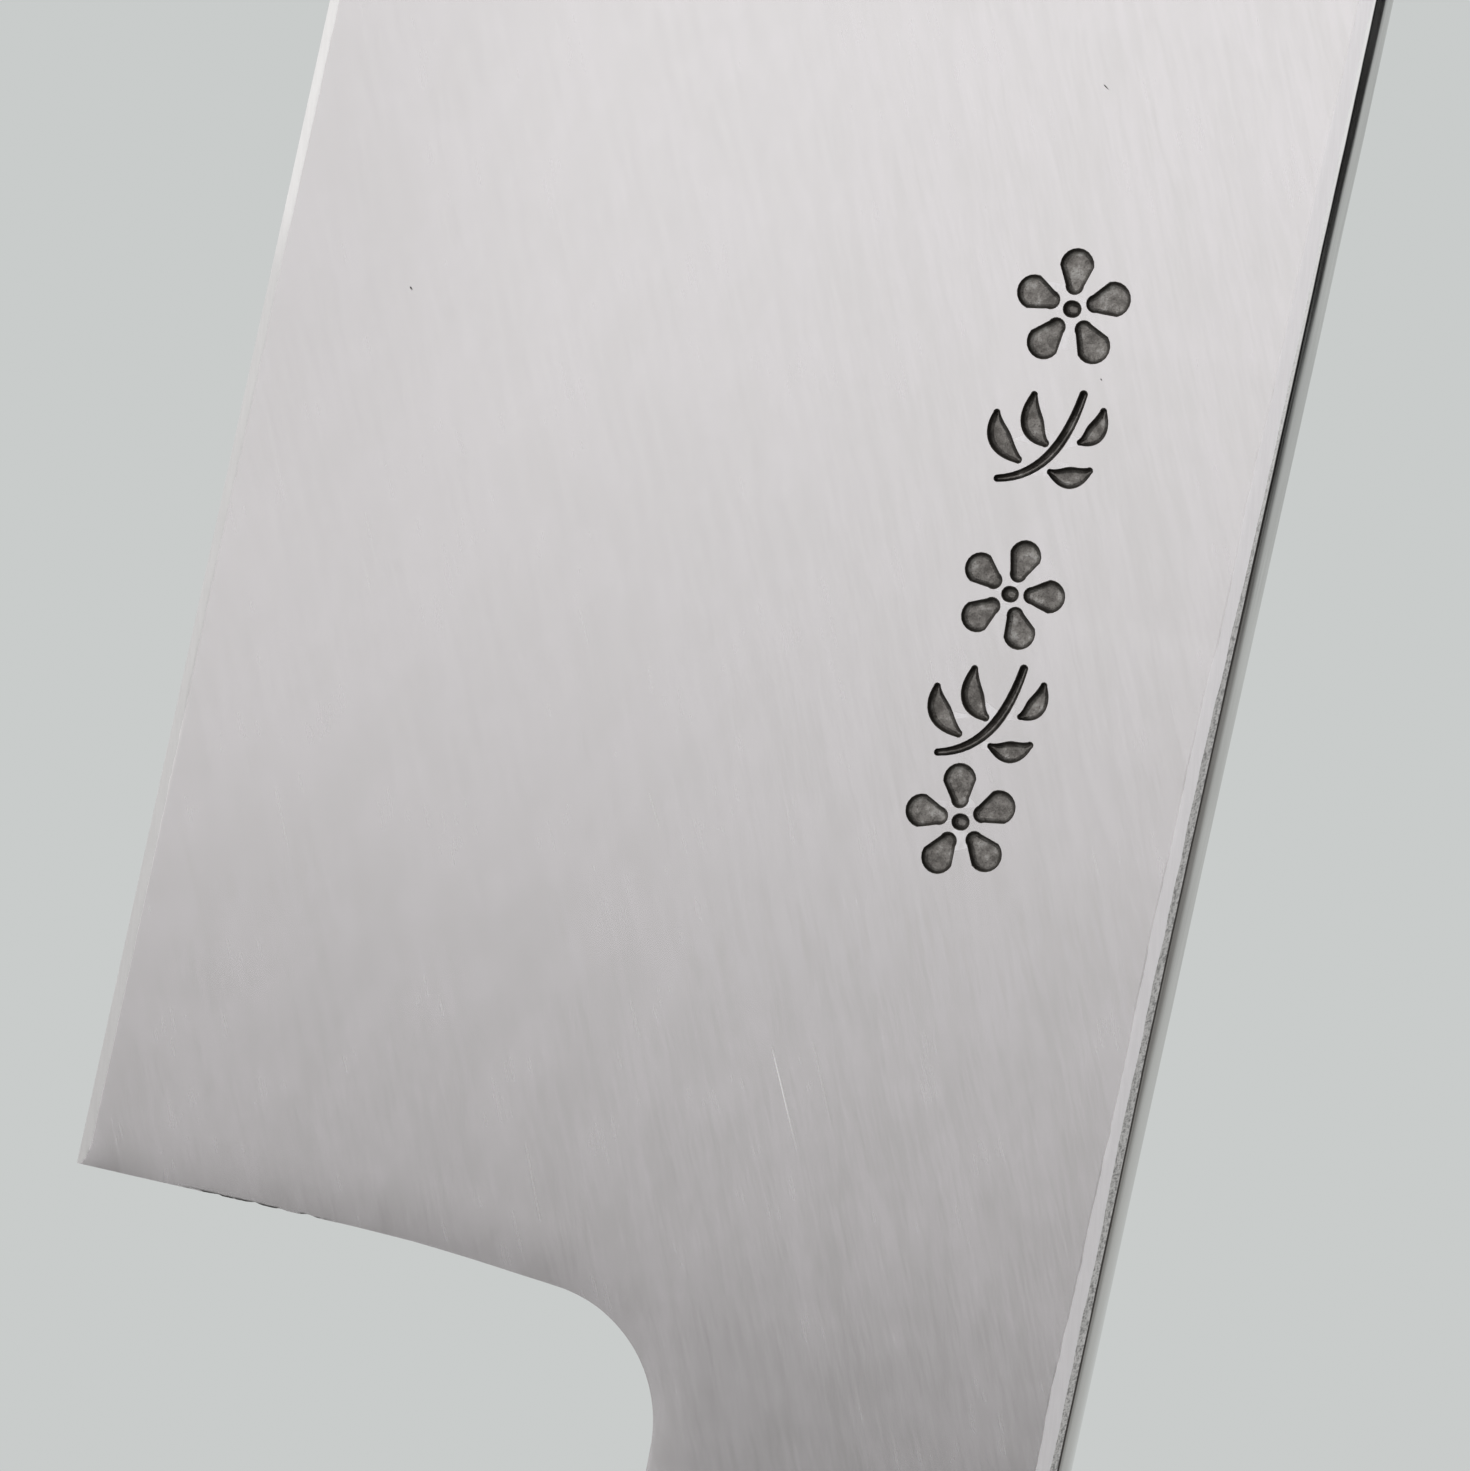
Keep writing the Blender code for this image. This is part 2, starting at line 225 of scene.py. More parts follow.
@dataclass
class Shell:
    """A mesh in the making: points, faces, and which finish each face has.

    Attributes:
        points: Arrays of points in metres, one below the other.
        faces: Corner numbers of each face.
        finishes: The finish number of each face.
        levels: Named values for every point, which the finishes read.
    """

    points: list[np.ndarray] = field(default_factory=list)
    faces: list[tuple[int, ...]] = field(default_factory=list)
    finishes: list[int] = field(default_factory=list)
    levels: dict[str, list[np.ndarray]] = field(default_factory=dict)

    def size(self) -> int:
        """Number of points so far."""
        return sum(len(block) for block in self.points)

    def add_grid(self, points: np.ndarray, finishes: np.ndarray, closed: bool) -> int:
        """Add a grid of quads.

        Args:
            points: Rows by columns of points, in metres.
            finishes: The finish number of each column of faces.
            closed: Whether the last column joins the first.

        Returns:
            The number of the grid's first point.
        """
        first = self.size()
        rows, columns = points.shape[:2]
        self.points.append(points.reshape(-1, 3))
        number = first + np.arange(rows * columns).reshape(rows, columns)
        after = np.roll(number, -1, axis=1)
        last = columns if closed else columns - 1
        corners = [number[:-1], after[:-1], after[1:], number[1:]]
        quads = np.stack([corner[:, :last] for corner in corners], axis=-1)
        self.faces.extend(map(tuple, quads.reshape(-1, 4).tolist()))
        self.finishes.extend(np.tile(finishes[:last], rows - 1).tolist())
        return first

    def add_face(self, corners: Sequence[int], finish: int) -> None:
        """Add one face by its corner numbers."""
        self.faces.append(tuple(corners))
        self.finishes.append(finish)

    def add_rings(self, rings: Sequence[np.ndarray], finish: int, capped: bool = True) -> int:
        """Add a tube of rings.

        Args:
            rings: The rings, each an array of as many points in metres.
            finish: Finish number of the faces.
            capped: Whether the ends get a face each; otherwise the last ring joins the first.

        Returns:
            The number of points added.
        """
        count = len(rings[0])
        first = self.add_grid(np.array(rings), np.full(count, finish), closed=True)
        last = first + (len(rings) - 1) * count
        if capped:
            self.add_face(range(first + count - 1, first - 1, -1), finish)
            self.add_face(range(last, last + count), finish)
        else:
            for i in range(count):
                ahead = (i + 1) % count
                self.add_face((last + i, last + ahead, first + ahead, first + i), finish)
        return len(rings) * count

    def to_object(self, name: str, dress: Sequence[bpy.types.Material]) -> bpy.types.Object:
        """Turn the shell into an object of the scene.

        Args:
            name: The object's name.
            dress: Its finishes, in the order of their numbers.

        Returns:
            The new object, at the origin.
        """
        mesh = bpy.data.meshes.new(name)
        mesh.from_pydata(np.concatenate(self.points).tolist(), [], self.faces)
        for finish in dress:
            mesh.materials.append(finish)
        mesh.polygons.foreach_set("material_index", np.array(self.finishes, dtype=np.int32))
        for level, blocks in self.levels.items():
            store = mesh.attributes.new(level, "FLOAT", "POINT")
            store.data.foreach_set("value", np.concatenate(blocks).astype(np.float32))
        mesh.validate()
        turn_outward(mesh)
        mesh.shade_smooth()
        mesh.set_sharp_from_angle(angle=CREASE)
        item = bpy.data.objects.new(name, mesh)
        bpy.context.scene.collection.objects.link(item)
        return item


# Finishes.


class NodeWork:
    """The node tree of a finish or of the room, with short calls for the nodes that they share."""

    def __init__(self, name: str, room: bool = False) -> None:
        """Start a material that has one Principled surface, or the world.

        Args:
            name: The name of the material or world.
            room: Whether it is the world.
        """
        self.owner = (bpy.data.worlds if room else bpy.data.materials).new(name)
        self.owner.use_nodes = True
        self.tree = self.owner.node_tree
        self.surface = self.tree.nodes["Background" if room else "Principled BSDF"]
        self.place = self.tree.nodes.new("ShaderNodeTexCoord").outputs["Generated" if room else "Object"]

    def set(self, **values: float | Sequence[float]) -> None:
        """Set constants on the surface by the names of its sockets, with _ for a space."""
        for name, value in values.items():
            self.surface.inputs[name.replace("_", " ")].default_value = value

    def join(self, source: Socket, name: str) -> None:
        """Link a value to one of the surface's sockets."""
        self.tree.links.new(source, self.surface.inputs[name])

    def feed(self, socket: Socket, value: Value | Sequence[float]) -> None:
        """Give a socket a link or a constant.

        Args:
            socket: The socket.
            value: What it gets.
        """
        if isinstance(value, Socket):
            self.tree.links.new(value, socket)
        else:
            socket.default_value = value

    def stretched(self, turn: Spread, size: Sequence[float]) -> Socket:
        """Coordinates that are turned about Y and measured in grains of a size.

        Args:
            turn: Direction of the grains.
            size: A grain's size across, in depth and along, in millimetres.

        Returns:
            The coordinates.
        """
        mapping = self.tree.nodes.new("ShaderNodeMapping")
        mapping.vector_type = "TEXTURE"
        mapping.inputs["Rotation"].default_value = (0.0, math.radians(turn.value), 0.0)
        mapping.inputs["Scale"].default_value = tuple(side * MM for side in size)
        self.tree.links.new(self.place, mapping.inputs["Vector"])
        return mapping.outputs["Vector"]

    def noise(
        self,
        turn: Spread,
        size: Sequence[float],
        detail: float = 2.0,
        roughness: float = 0.5,
        distortion: float = 0.0,
    ) -> Socket:
        """Noise whose grains have a size and a direction.

        Args:
            turn: Direction of the grains.
            size: A grain's size across, in depth and along, in millimetres.
            detail: Number of finer layers.
            roughness: Share of the finer layers.
            distortion: How far the grains wander.

        Returns:
            Values round 0.5.
        """
        node = self.tree.nodes.new("ShaderNodeTexNoise")
        node.inputs["Scale"].default_value = 1.0
        node.inputs["Detail"].default_value = detail
        node.inputs["Roughness"].default_value = roughness
        node.inputs["Distortion"].default_value = distortion
        self.tree.links.new(self.stretched(turn, size), node.inputs["Vector"])
        return node.outputs["Fac"]

    def math(self, operation: str, first: Value, second: Value = 0.0, third: Value = 0.0) -> Socket:
        """One step of arithmetic on values.

        Args:
            operation: Blender's name of the step.
            first: Its first value.
            second: Its second.
            third: Its third.

        Returns:
            The outcome.
        """
        node = self.tree.nodes.new("ShaderNodeMath")
        node.operation = operation
        for socket, value in zip(node.inputs, (first, second, third)):
            self.feed(socket, value)
        return node.outputs["Value"]

    def times(self, first: Value, second: Value) -> Socket:
        """One value times another."""
        return self.math("MULTIPLY", first, second)

    def times_plus(self, first: Value, second: Value, third: Value) -> Socket:
        """One value times another, plus a third."""
        return self.math("MULTIPLY_ADD", first, second, third)

    def less(self, first: Value, second: Value) -> Socket:
        """One value less another."""
        return self.math("SUBTRACT", first, second)

    def ramp(
        self, value: Socket, start: float, end: float, low: float = 0.0, high: float = 1.0
    ) -> Socket:
        """A value mapped smoothly from one range to another.

        Args:
            value: The value.
            start: Where the first range starts.
            end: Where it ends.
            low: Where the second range starts.
            high: Where it ends.

        Returns:
            The mapped value.
        """
        node = self.tree.nodes.new("ShaderNodeMapRange")
        node.interpolation_type = "SMOOTHSTEP"
        for socket, number in zip(list(node.inputs)[1:5], (start, end, low, high)):
            socket.default_value = number
        self.tree.links.new(value, node.inputs["Value"])
        return node.outputs["Result"]

    def mix(self, share: Value, first: Socket | Colour, second: Socket | Colour) -> Socket:
        """A colour between two others.

        Args:
            share: Share of the second colour.
            first: The first colour.
            second: The second colour.

        Returns:
            The colour.
        """
        node = self.tree.nodes.new("ShaderNodeMix")
        node.data_type = "RGBA"
        self.feed(node.inputs[0], share)
        for socket, value in zip(node.inputs[6:8], (first, second)):
            self.feed(socket, value if isinstance(value, Socket) else (*value, 1.0))
        return node.outputs[2]

    def level(self, name: str) -> Socket:
        """A value that the mesh holds for its points.

        Args:
            name: Name of the mesh's attribute.

        Returns:
            The value.
        """
        node = self.tree.nodes.new("ShaderNodeAttribute")
        node.attribute_name = name
        return node.outputs["Fac"]

    def axis(self, way: Way) -> Socket:
        """One of the tree's coordinates: the object's in metres, or a direction of the world.

        Args:
            way: Which one.

        Returns:
            The coordinate.
        """
        node = self.tree.nodes.new("ShaderNodeSeparateXYZ")
        self.tree.links.new(self.place, node.inputs["Vector"])
        return node.outputs[way.value]

    def bump(self, height: Socket, rise: float) -> None:
        """Raise the surface by a height from 0 to 1.

        Args:
            height: The relief.
            rise: What a height of 1 stands for, in micrometres.
        """
        node = self.tree.nodes.new("ShaderNodeBump")
        node.inputs["Strength"].default_value = 1.0
        node.inputs["Distance"].default_value = rise * 1e-6
        self.tree.links.new(height, node.inputs["Height"])
        self.join(node.outputs["Normal"], "Normal")

    def comb(self, turn: Spread, anisotropy: float) -> None:
        """Spread the shine across the brushing.

        Args:
            turn: Direction of the brushing.
            anisotropy: How much wider the shine is across than along.
        """
        angle = math.radians(turn.value)
        across = self.tree.nodes.new("ShaderNodeCombineXYZ")
        for socket, value in zip(across.inputs, (math.cos(angle), 0.0, -math.sin(angle))):
            socket.default_value = value
        self.tree.links.new(across.outputs["Vector"], self.surface.inputs["Tangent"])
        self.set(Anisotropic=anisotropy)


@dataclass(frozen=True)
class BrushedMetal:
    """Metal that a stone, a wheel or a file has left its lines on.

    A line's width and length and the size of the clouds are in millimetres, the relief of the lines in
    micrometres. Swing and tone say how far the roughness and the colour vary.
    """

    name: str
    colour: Colour
    roughness: float
    turn: Spread
    line: tuple[float, float]
    relief: float
    swing: float = 0.05
    tone: float = 0.04
    cloud: float = 8.0
    anisotropy: float = 0.3

    def make(self) -> bpy.types.Material:
        """Build the material.

        Returns:
            The material.
        """
        work = NodeWork(self.name)
        work.set(Metallic=1.0)
        width, length = self.line
        fine = work.noise(self.turn, (width, width * 4.0, length))
        broad = work.noise(self.turn, (width * 6.0, width * 20.0, length * 2.5))
        cloud = work.noise(Spread.ALONG_KNIFE, (self.cloud, self.cloud, self.cloud * 1.6))
        lines = work.times_plus(broad, 0.6, fine)
        both = work.times_plus(cloud, 0.8, work.times(lines, 0.7))
        dark = tuple(part * (1.0 - self.tone) for part in self.colour)
        light = tuple(min(1.0, part * (1.0 + self.tone)) for part in self.colour)
        work.join(work.mix(work.ramp(both, 0.55, 1.35), dark, light), "Base Color")
        low, high = self.roughness - self.swing, self.roughness + self.swing
        work.join(work.ramp(both, 0.6, 1.3, low, high), "Roughness")
        work.bump(lines, self.relief)
        work.comb(self.turn, self.anisotropy)
        return work.owner


@dataclass(frozen=True)
class PolishedSpine:
    """The spine, polished by hand, with a fine dark line of painted shadow where its filed corner starts.

    The painted shadow line starts to fade and ends at two depths from the back plane, in millimetres. The
    other pairs
    are places in millimetres too: depths over which the colour turns lighter toward the front as a painted
    reflection of the pale backdrop, lengths from the heel for the shadow line.
    """

    placing: Placing
    name: str = "polished_spine"
    colour: Colour = (0.79, 0.79, 0.775)
    # Colour at the front of the spine: lighter, a painted reflection of the pale backdrop.
    backdrop_reflection_colour: Colour = (0.84, 0.84, 0.83)
    # Colour of the painted shadow line along the filed corner.
    burr_shadow_colour: Colour = (0.12, 0.117, 0.113)
    line: tuple[float, float] = (0.42, 0.66)
    reflection_depths: tuple[float, float] = (1.4, 3.6)
    burr_shadow_places: tuple[float, float] = (36.0, 55.0)
    roughness: float = 0.09

    def make(self) -> bpy.types.Material:
        """Build the material.

        Returns:
            The material.
        """
        work = NodeWork(self.name)
        work.set(Metallic=1.0)
        lines = work.noise(Spread.ALONG_KNIFE, (0.07, 0.28, 5.0))
        cloud = work.noise(Spread.ALONG_KNIFE, (5.0, 5.0, 8.0))
        both = work.times_plus(cloud, 0.5, work.times(lines, 0.5))
        # Lighter toward the front: a painted reflection of the pale backdrop.
        tone = self.placing.fade(work, Way.DEPTH, *self.reflection_depths)
        tone = work.mix(tone, self.colour, self.backdrop_reflection_colour)
        tone = work.mix(work.ramp(both, 0.35, 0.65, 0.05, 0.0), tone, BLACK)
        # A dark line on the corner's round, stronger near the heel: painted shadow, the shade a small burr
        # would cast.
        line = self.placing.fade(work, Way.LENGTH, *self.burr_shadow_places, 1.0, 0.3)
        line = work.times(line, self.placing.fade(work, Way.DEPTH, *self.line[::-1]))
        work.join(work.mix(line, tone, self.burr_shadow_colour), "Base Color")
        work.join(work.ramp(both, 0.35, 0.65, self.roughness - 0.02, self.roughness + 0.03), "Roughness")
        work.bump(lines, 0.35)
        work.comb(Spread.ALONG_KNIFE, 0.2)
        return work.owner


@dataclass(frozen=True)
class Mark:
    """A short line that someone's use or the maker's work has left on the back.

    Attributes:
        start: Height and along of one end, in millimetres.
        end: Height and along of the other end, in millimetres.
        width: Half its width, in millimetres.
        strength: How clearly it shows, up to 1.
    """

    start: tuple[float, float]
    end: tuple[float, float]
    width: float
    strength: float = 0.13


@dataclass(frozen=True)
class GroundBack:
    """The wheel-ground hollow with its hairlines, and the stoned flat rims round it.

    The rim along the edge has its bright colour where it is honed, toward the square end; the spine's rim
    is dull. The colour is darker along the edge toward the square end, and darker toward the neck as
    painted shade.
    """

    placing: Placing
    name: str = "ground_back"
    hollow: Colour = (0.631, 0.612, 0.618)
    drift: Colour = (0.043, 0.04, 0.047)
    edge_rim: Colour = (0.57, 0.562, 0.558)
    bright_rim: Colour = (0.70, 0.69, 0.685)
    spine_rim: Colour = (0.805, 0.787, 0.80)
    roughness: float = 0.26
    rim_roughness: float = 0.29
    dull_roughness: float = 0.42
    scratches: tuple[Mark, ...] = ()
    specks: tuple[Mark, ...] = ()
    # Share of darkening along the edge, toward the square end.
    edge_darkening: float = 0.08
    # Share of painted shade toward the neck, where the light falls off.
    neck_shade: float = 0.12

    def make(self) -> bpy.types.Material:
        """Build the material.

        Returns:
            The material.
        """
        work = NodeWork(self.name)
        work.set(Metallic=1.0)
        wander = work.noise(Spread.ALONG_KNIFE, (0.5, 5.0, 0.8), 3.0, 0.6)
        wander = work.less(wander, 0.5)
        level = work.times_plus(wander, 0.012, work.level("hollow_level"))
        flat = work.ramp(level, 0.0022, -0.0018)
        fine = work.noise(Spread.BRUSHED, (0.17, 2.0, 2.6), 2.0, 0.55)
        broad = work.noise(Spread.BRUSHED, (0.5, 6.0, 5.0), 3.0, 0.6, 0.15)
        cloud = work.noise(Spread.ALONG_KNIFE, (2.6, 9.0, 4.0), 3.0, 0.6)
        stoned = work.noise(Spread.STONED, (0.12, 2.0, 1.6), 2.0, 0.6)
        hair = work.noise(Spread.BRUSHED, (0.12, 9.0, 3.6), 0.0)
        sparse = work.noise(Spread.BRUSHED, (1.6, 9.0, 9.0), 1.0)
        hairline = work.times(work.ramp(hair, 0.74, 0.80), work.ramp(sparse, 0.57, 0.68))
        streak = work.times_plus(broad, 0.6, work.times(fine, 0.4))
        dark = tuple(part * (1.0 - change) for part, change in zip(self.hollow, self.drift))
        light = tuple(part * (1.0 + change) for part, change in zip(self.hollow, self.drift))
        toward_spine = self.placing.fade(work, Way.HEIGHT, 16.0, 36.0, 0.25, 0.54)
        toward_heel = self.placing.fade(work, Way.LENGTH, 20.0, 4.0, 0.0, 0.06)
        strength = work.math("ADD", toward_spine, toward_heel)
        swing = work.less(work.ramp(streak, 0.38, 0.62), 0.5)
        blotch = work.ramp(cloud, 0.36, 0.64, 0.3, 0.7)
        ground = work.mix(work.times_plus(swing, strength, blotch), dark, light)
        # Darker along the edge toward the square end; darker toward the neck, which is painted shade for
        # the light falling off there.
        endward = self.placing.fade(work, Way.LENGTH, 22.0, 42.0)
        edge_darkening = work.times(self.placing.fade(work, Way.HEIGHT, 15.0, 0.0), endward)
        painted_neck_shade = self.placing.fade(work, Way.LENGTH, 6.0, -9.0, 0.0, self.neck_shade)
        ground = work.mix(work.times_plus(edge_darkening, self.edge_darkening, painted_neck_shade), ground, BLACK)
        lines = self.draw(work, self.scratches)
        bright = work.math("MAXIMUM", work.times(hairline, 0.05), lines)
        ground = work.mix(bright, ground, (0.95, 0.94, 0.94))
        spineward = self.placing.fade(work, Way.HEIGHT, 10.0, 36.0)
        honed = self.placing.fade(work, Way.LENGTH, 40.0, 45.0)
        rim = work.mix(spineward, work.mix(honed, self.edge_rim, self.bright_rim), self.spine_rim)
        worn = work.times(work.ramp(stoned, 0.65, 0.35), 0.035)
        colour = work.mix(flat, ground, work.mix(worn, rim, BLACK))
        scale = work.ramp(work.level("rear_gap"), 0.16, 0.02)
        patch = work.noise(Spread.ACROSS, (0.25, 3.0, 0.9), 2.0, 0.7)
        zone = self.placing.fade(work, Way.HEIGHT, 4.5, 6.0)
        zone = work.times(zone, self.placing.fade(work, Way.HEIGHT, 12.5, 11.0))
        nicked = work.times(work.times(work.ramp(patch, 0.50, 0.56), scale), zone)
        nicked = work.math("MAXIMUM", nicked, self.draw(work, self.specks))
        colour = work.mix(nicked, colour, (0.05, 0.048, 0.045))
        work.join(colour, "Base Color")
        rough = work.times_plus(work.less(fine, 0.5), 0.05, self.roughness)
        rough = work.times_plus(work.less(cloud, 0.5), 0.05, rough)
        duller = self.dull_roughness - self.rim_roughness
        rim_rough = work.times_plus(spineward, duller, self.rim_roughness)
        gap = work.less(rim_rough, rough)
        rough = work.times_plus(flat, gap, rough)
        rough = work.times_plus(work.math("MAXIMUM", bright, nicked), 0.2, rough)
        work.join(rough, "Roughness")
        relief = work.times_plus(broad, 0.3, work.times(fine, 0.2))
        relief = work.times_plus(bright, -0.1, relief)
        gap = work.less(work.times(stoned, 0.6), relief)
        work.bump(work.times_plus(flat, gap, relief), 0.16)
        work.comb(Spread.BRUSHED, 0.35)
        return work.owner

    def draw(self, work: NodeWork, marks: Sequence[Mark]) -> Value:
        """Where single lines lie, as values from 0 to 1.

        Args:
            work: The node tree to draw in.
            marks: The lines.

        Returns:
            1 on a line and 0 beside it.
        """
        shown: Value = 0.0
        height, along = work.axis(Way.HEIGHT), work.axis(Way.LENGTH)
        for mark in marks:
            ends = (mark.start, mark.end)
            first, last = (self.placing.points(spot[1], spot[0], 0.0)[::2] for spot in ends)
            up, ahead = (last - first).tolist()
            length = math.hypot(up, ahead)
            side, rise = work.less(height, float(first[0])), work.less(along, float(first[1]))
            travel = work.times_plus(side, up / length**2, work.times(rise, ahead / length**2))
            inside = work.times(work.ramp(travel, -0.05, 0.15), work.ramp(travel, 1.05, 0.4))
            inside = work.times(inside, mark.strength)
            offset = work.times_plus(side, ahead / length, work.times(rise, -up / length))
            near = work.ramp(work.math("ABSOLUTE", offset), mark.width * MM, 0.3 * mark.width * MM)
            shown = work.math("MAXIMUM", shown, work.times(near, inside))
        return shown


@dataclass(frozen=True)
class FiledCorner:
    """The long corner of the spine, filed by hand and left a little uneven.

    It is rough near the heel and worn smooth from one height of the frame to another, in metres, where its
    lighter colour is a painted glint. The low parts of the file's relief are painted darker, as shade in
    its furrows. The relief of the file's furrows is in micrometres.
    """

    name: str = "filed_corner"
    colour: Colour = (0.56, 0.55, 0.54)
    # Colour of the polished part, whose lightness is a painted glint.
    polish: Colour = (0.84, 0.835, 0.83)
    roughness: float = 0.3
    relief: float = 11.0
    polish_glint_from: float = 0.188
    polish_glint_to: float = 0.222

    def make(self) -> bpy.types.Material:
        """Build the material.

        Returns:
            The material.
        """
        work = NodeWork(self.name)
        work.set(Metallic=1.0)
        # Polished smooth toward the square end; its lighter colour there is a painted glint.
        bright = work.ramp(work.axis(Way.LENGTH), self.polish_glint_from, self.polish_glint_to)
        furrow = work.noise(Spread.FILED, (0.06, 0.08, 0.4), 3.0, 0.65)
        patch = work.noise(Spread.ALONG_KNIFE, (0.13, 0.13, 0.3), 3.0, 0.65)
        both = work.times_plus(patch, 0.9, furrow)
        # Darker where the relief is low: painted shade in the file's furrows.
        dark = tuple(part * 0.42 for part in self.colour)
        rough = work.mix(work.ramp(both, 0.74, 1.08), dark, self.colour)
        work.join(work.mix(bright, rough, self.polish), "Base Color")
        work.join(work.times_plus(bright, 0.12 - self.roughness, self.roughness), "Roughness")
        work.bump(work.times(both, work.times_plus(bright, -0.9, 1.0)), self.relief)
        return work.owner


@dataclass(frozen=True)
class MistyBevel:
    """Soft iron as the finishing stone leaves it: dull, cloudy, with a drift of fine lines."""

    name: str = "misty_iron"
    colour: Colour = (0.50, 0.495, 0.49)
    roughness: float = 0.46

    def make(self) -> bpy.types.Material:
        """Build the material.

        Returns:
            The material.
        """
        work = NodeWork(self.name)
        work.set(Metallic=1.0)
        cloud = work.noise(Spread.STONED, (2.2, 8.0, 7.0), 5.0, 0.62, 0.6)
        line = work.noise(Spread.FILED, (0.12, 2.0, 5.0), 2.0, 0.6)
        grit = work.noise(Spread.ALONG_KNIFE, (0.15, 0.15, 0.15))
        both = work.times_plus(line, 0.5, cloud)
        dark = tuple(part * 0.80 for part in self.colour)
        work.join(work.mix(work.ramp(both, 0.55, 0.95), dark, self.colour), "Base Color")
        work.join(work.ramp(both, 0.5, 1.0, self.roughness + 0.08, self.roughness - 0.06), "Roughness")
        work.bump(work.math("ADD", line, grit), 0.9)
        return work.owner


@dataclass(frozen=True)
class ForgedIron:
    """Iron with its dark skin from the fire, rubbed off to the bare metal in places, as on the tang."""

    name: str = "forged_tang"
    skin: Colour = (0.085, 0.08, 0.078)
    bare: Colour = (0.34, 0.33, 0.32)

    def make(self) -> bpy.types.Material:
        """Build the material.

        Returns:
            The material.
        """
        work = NodeWork(self.name)
        work.set(Metallic=0.85)
        flake = work.noise(Spread.ALONG_KNIFE, (0.9, 0.9, 1.3), 5.0, 0.65)
        line = work.noise(Spread.ALONG_KNIFE, (0.12, 0.12, 4.0))
        work.join(work.mix(work.ramp(flake, 0.52, 0.68), self.skin, self.bare), "Base Color")
        work.join(work.ramp(flake, 0.4, 0.7, 0.62, 0.38), "Roughness")
        work.bump(work.times_plus(line, 0.4, flake), 35.0)
        return work.owner


@dataclass(frozen=True)
class PunchedFloor:
    """The inside of a punched ornament: near-black walls, partly oxide and partly painted shade in the
    recess, round a brown grey floor with bare patches.

    Walls and floor are told apart by their depth under the hollow, whose middle, half width and depth are
    in millimetres.
    """

    placing: Placing
    name: str = "punched_floor"
    # Colour of the walls: partly oxide, partly painted shade in the recess.
    oxide_and_shade: Colour = (0.05, 0.045, 0.04)
    floor: tuple[Colour, Colour] = ((0.12, 0.112, 0.104), (0.27, 0.255, 0.24))
    bare: Colour = (0.42, 0.41, 0.395)
    middle: float = 23.3
    half_width: float = 22.6
    hollow_depth: float = 0.4

    def make(self) -> bpy.types.Material:
        """Build the material.

        Returns:
            The material.
        """
        work = NodeWork(self.name)
        work.set(Metallic=0.9)
        across = work.less(work.axis(Way.HEIGHT), self.placing.edge_line + self.middle * MM)
        across = work.math("DIVIDE", across, self.half_width * MM)
        square = work.times(across, across)
        hollow = work.times_plus(square, -self.hollow_depth, self.hollow_depth)
        sunk = work.math("DIVIDE", work.less(work.axis(Way.DEPTH), self.placing.back_plane), MM)
        deep = work.ramp(work.less(sunk, hollow), 0.16, 0.345)
        patch = work.noise(Spread.ALONG_KNIFE, (0.5, 0.5, 0.5), 3.0, 0.55)
        grit = work.noise(Spread.ALONG_KNIFE, (0.08, 0.08, 0.08), 3.0, 0.6)
        both = work.times_plus(patch, 0.6, work.times(grit, 0.4))
        floor = work.mix(work.ramp(both, 0.38, 0.62), *self.floor)
        shown = work.times(work.ramp(patch, 0.56, 0.68), work.ramp(grit, 0.3, 0.7))
        floor = work.mix(shown, floor, self.bare)
        # Walls above the floor's depth get the near-black colour: partly oxide, partly painted shade.
        work.join(work.mix(deep, self.oxide_and_shade, floor), "Base Color")
        work.join(work.ramp(grit, 0.3, 0.7, 0.26, 0.46), "Roughness")
        work.bump(work.times_plus(patch, 2.0, grit), 14.0)
        return work.owner


@dataclass(frozen=True)
class BuffaloHorn:
    """Polished black horn with faint brown streaks along it."""

    name: str = "buffalo_horn"
    black: Colour = (0.012, 0.011, 0.010)
    streak: Colour = (0.075, 0.050, 0.032)

    def make(self) -> bpy.types.Material:
        """Build the material.

        Returns:
            The material.
        """
        work = NodeWork(self.name)
        work.set(Coat_Weight=0.35, Coat_Roughness=0.12, Specular_IOR_Level=0.5)
        strand = work.noise(Spread.ALONG_KNIFE, (1.1, 1.1, 26.0), 4.0, 0.6, 0.5)
        fibre = work.noise(Spread.ALONG_KNIFE, (0.14, 0.14, 6.0))
        both = work.times_plus(fibre, 0.35, strand)
        work.join(work.mix(work.ramp(both, 0.70, 0.98), self.black, self.streak), "Base Color")
        work.join(work.ramp(both, 0.5, 0.95, 0.24, 0.40), "Roughness")
        work.bump(fibre, 3.0)
        return work.owner


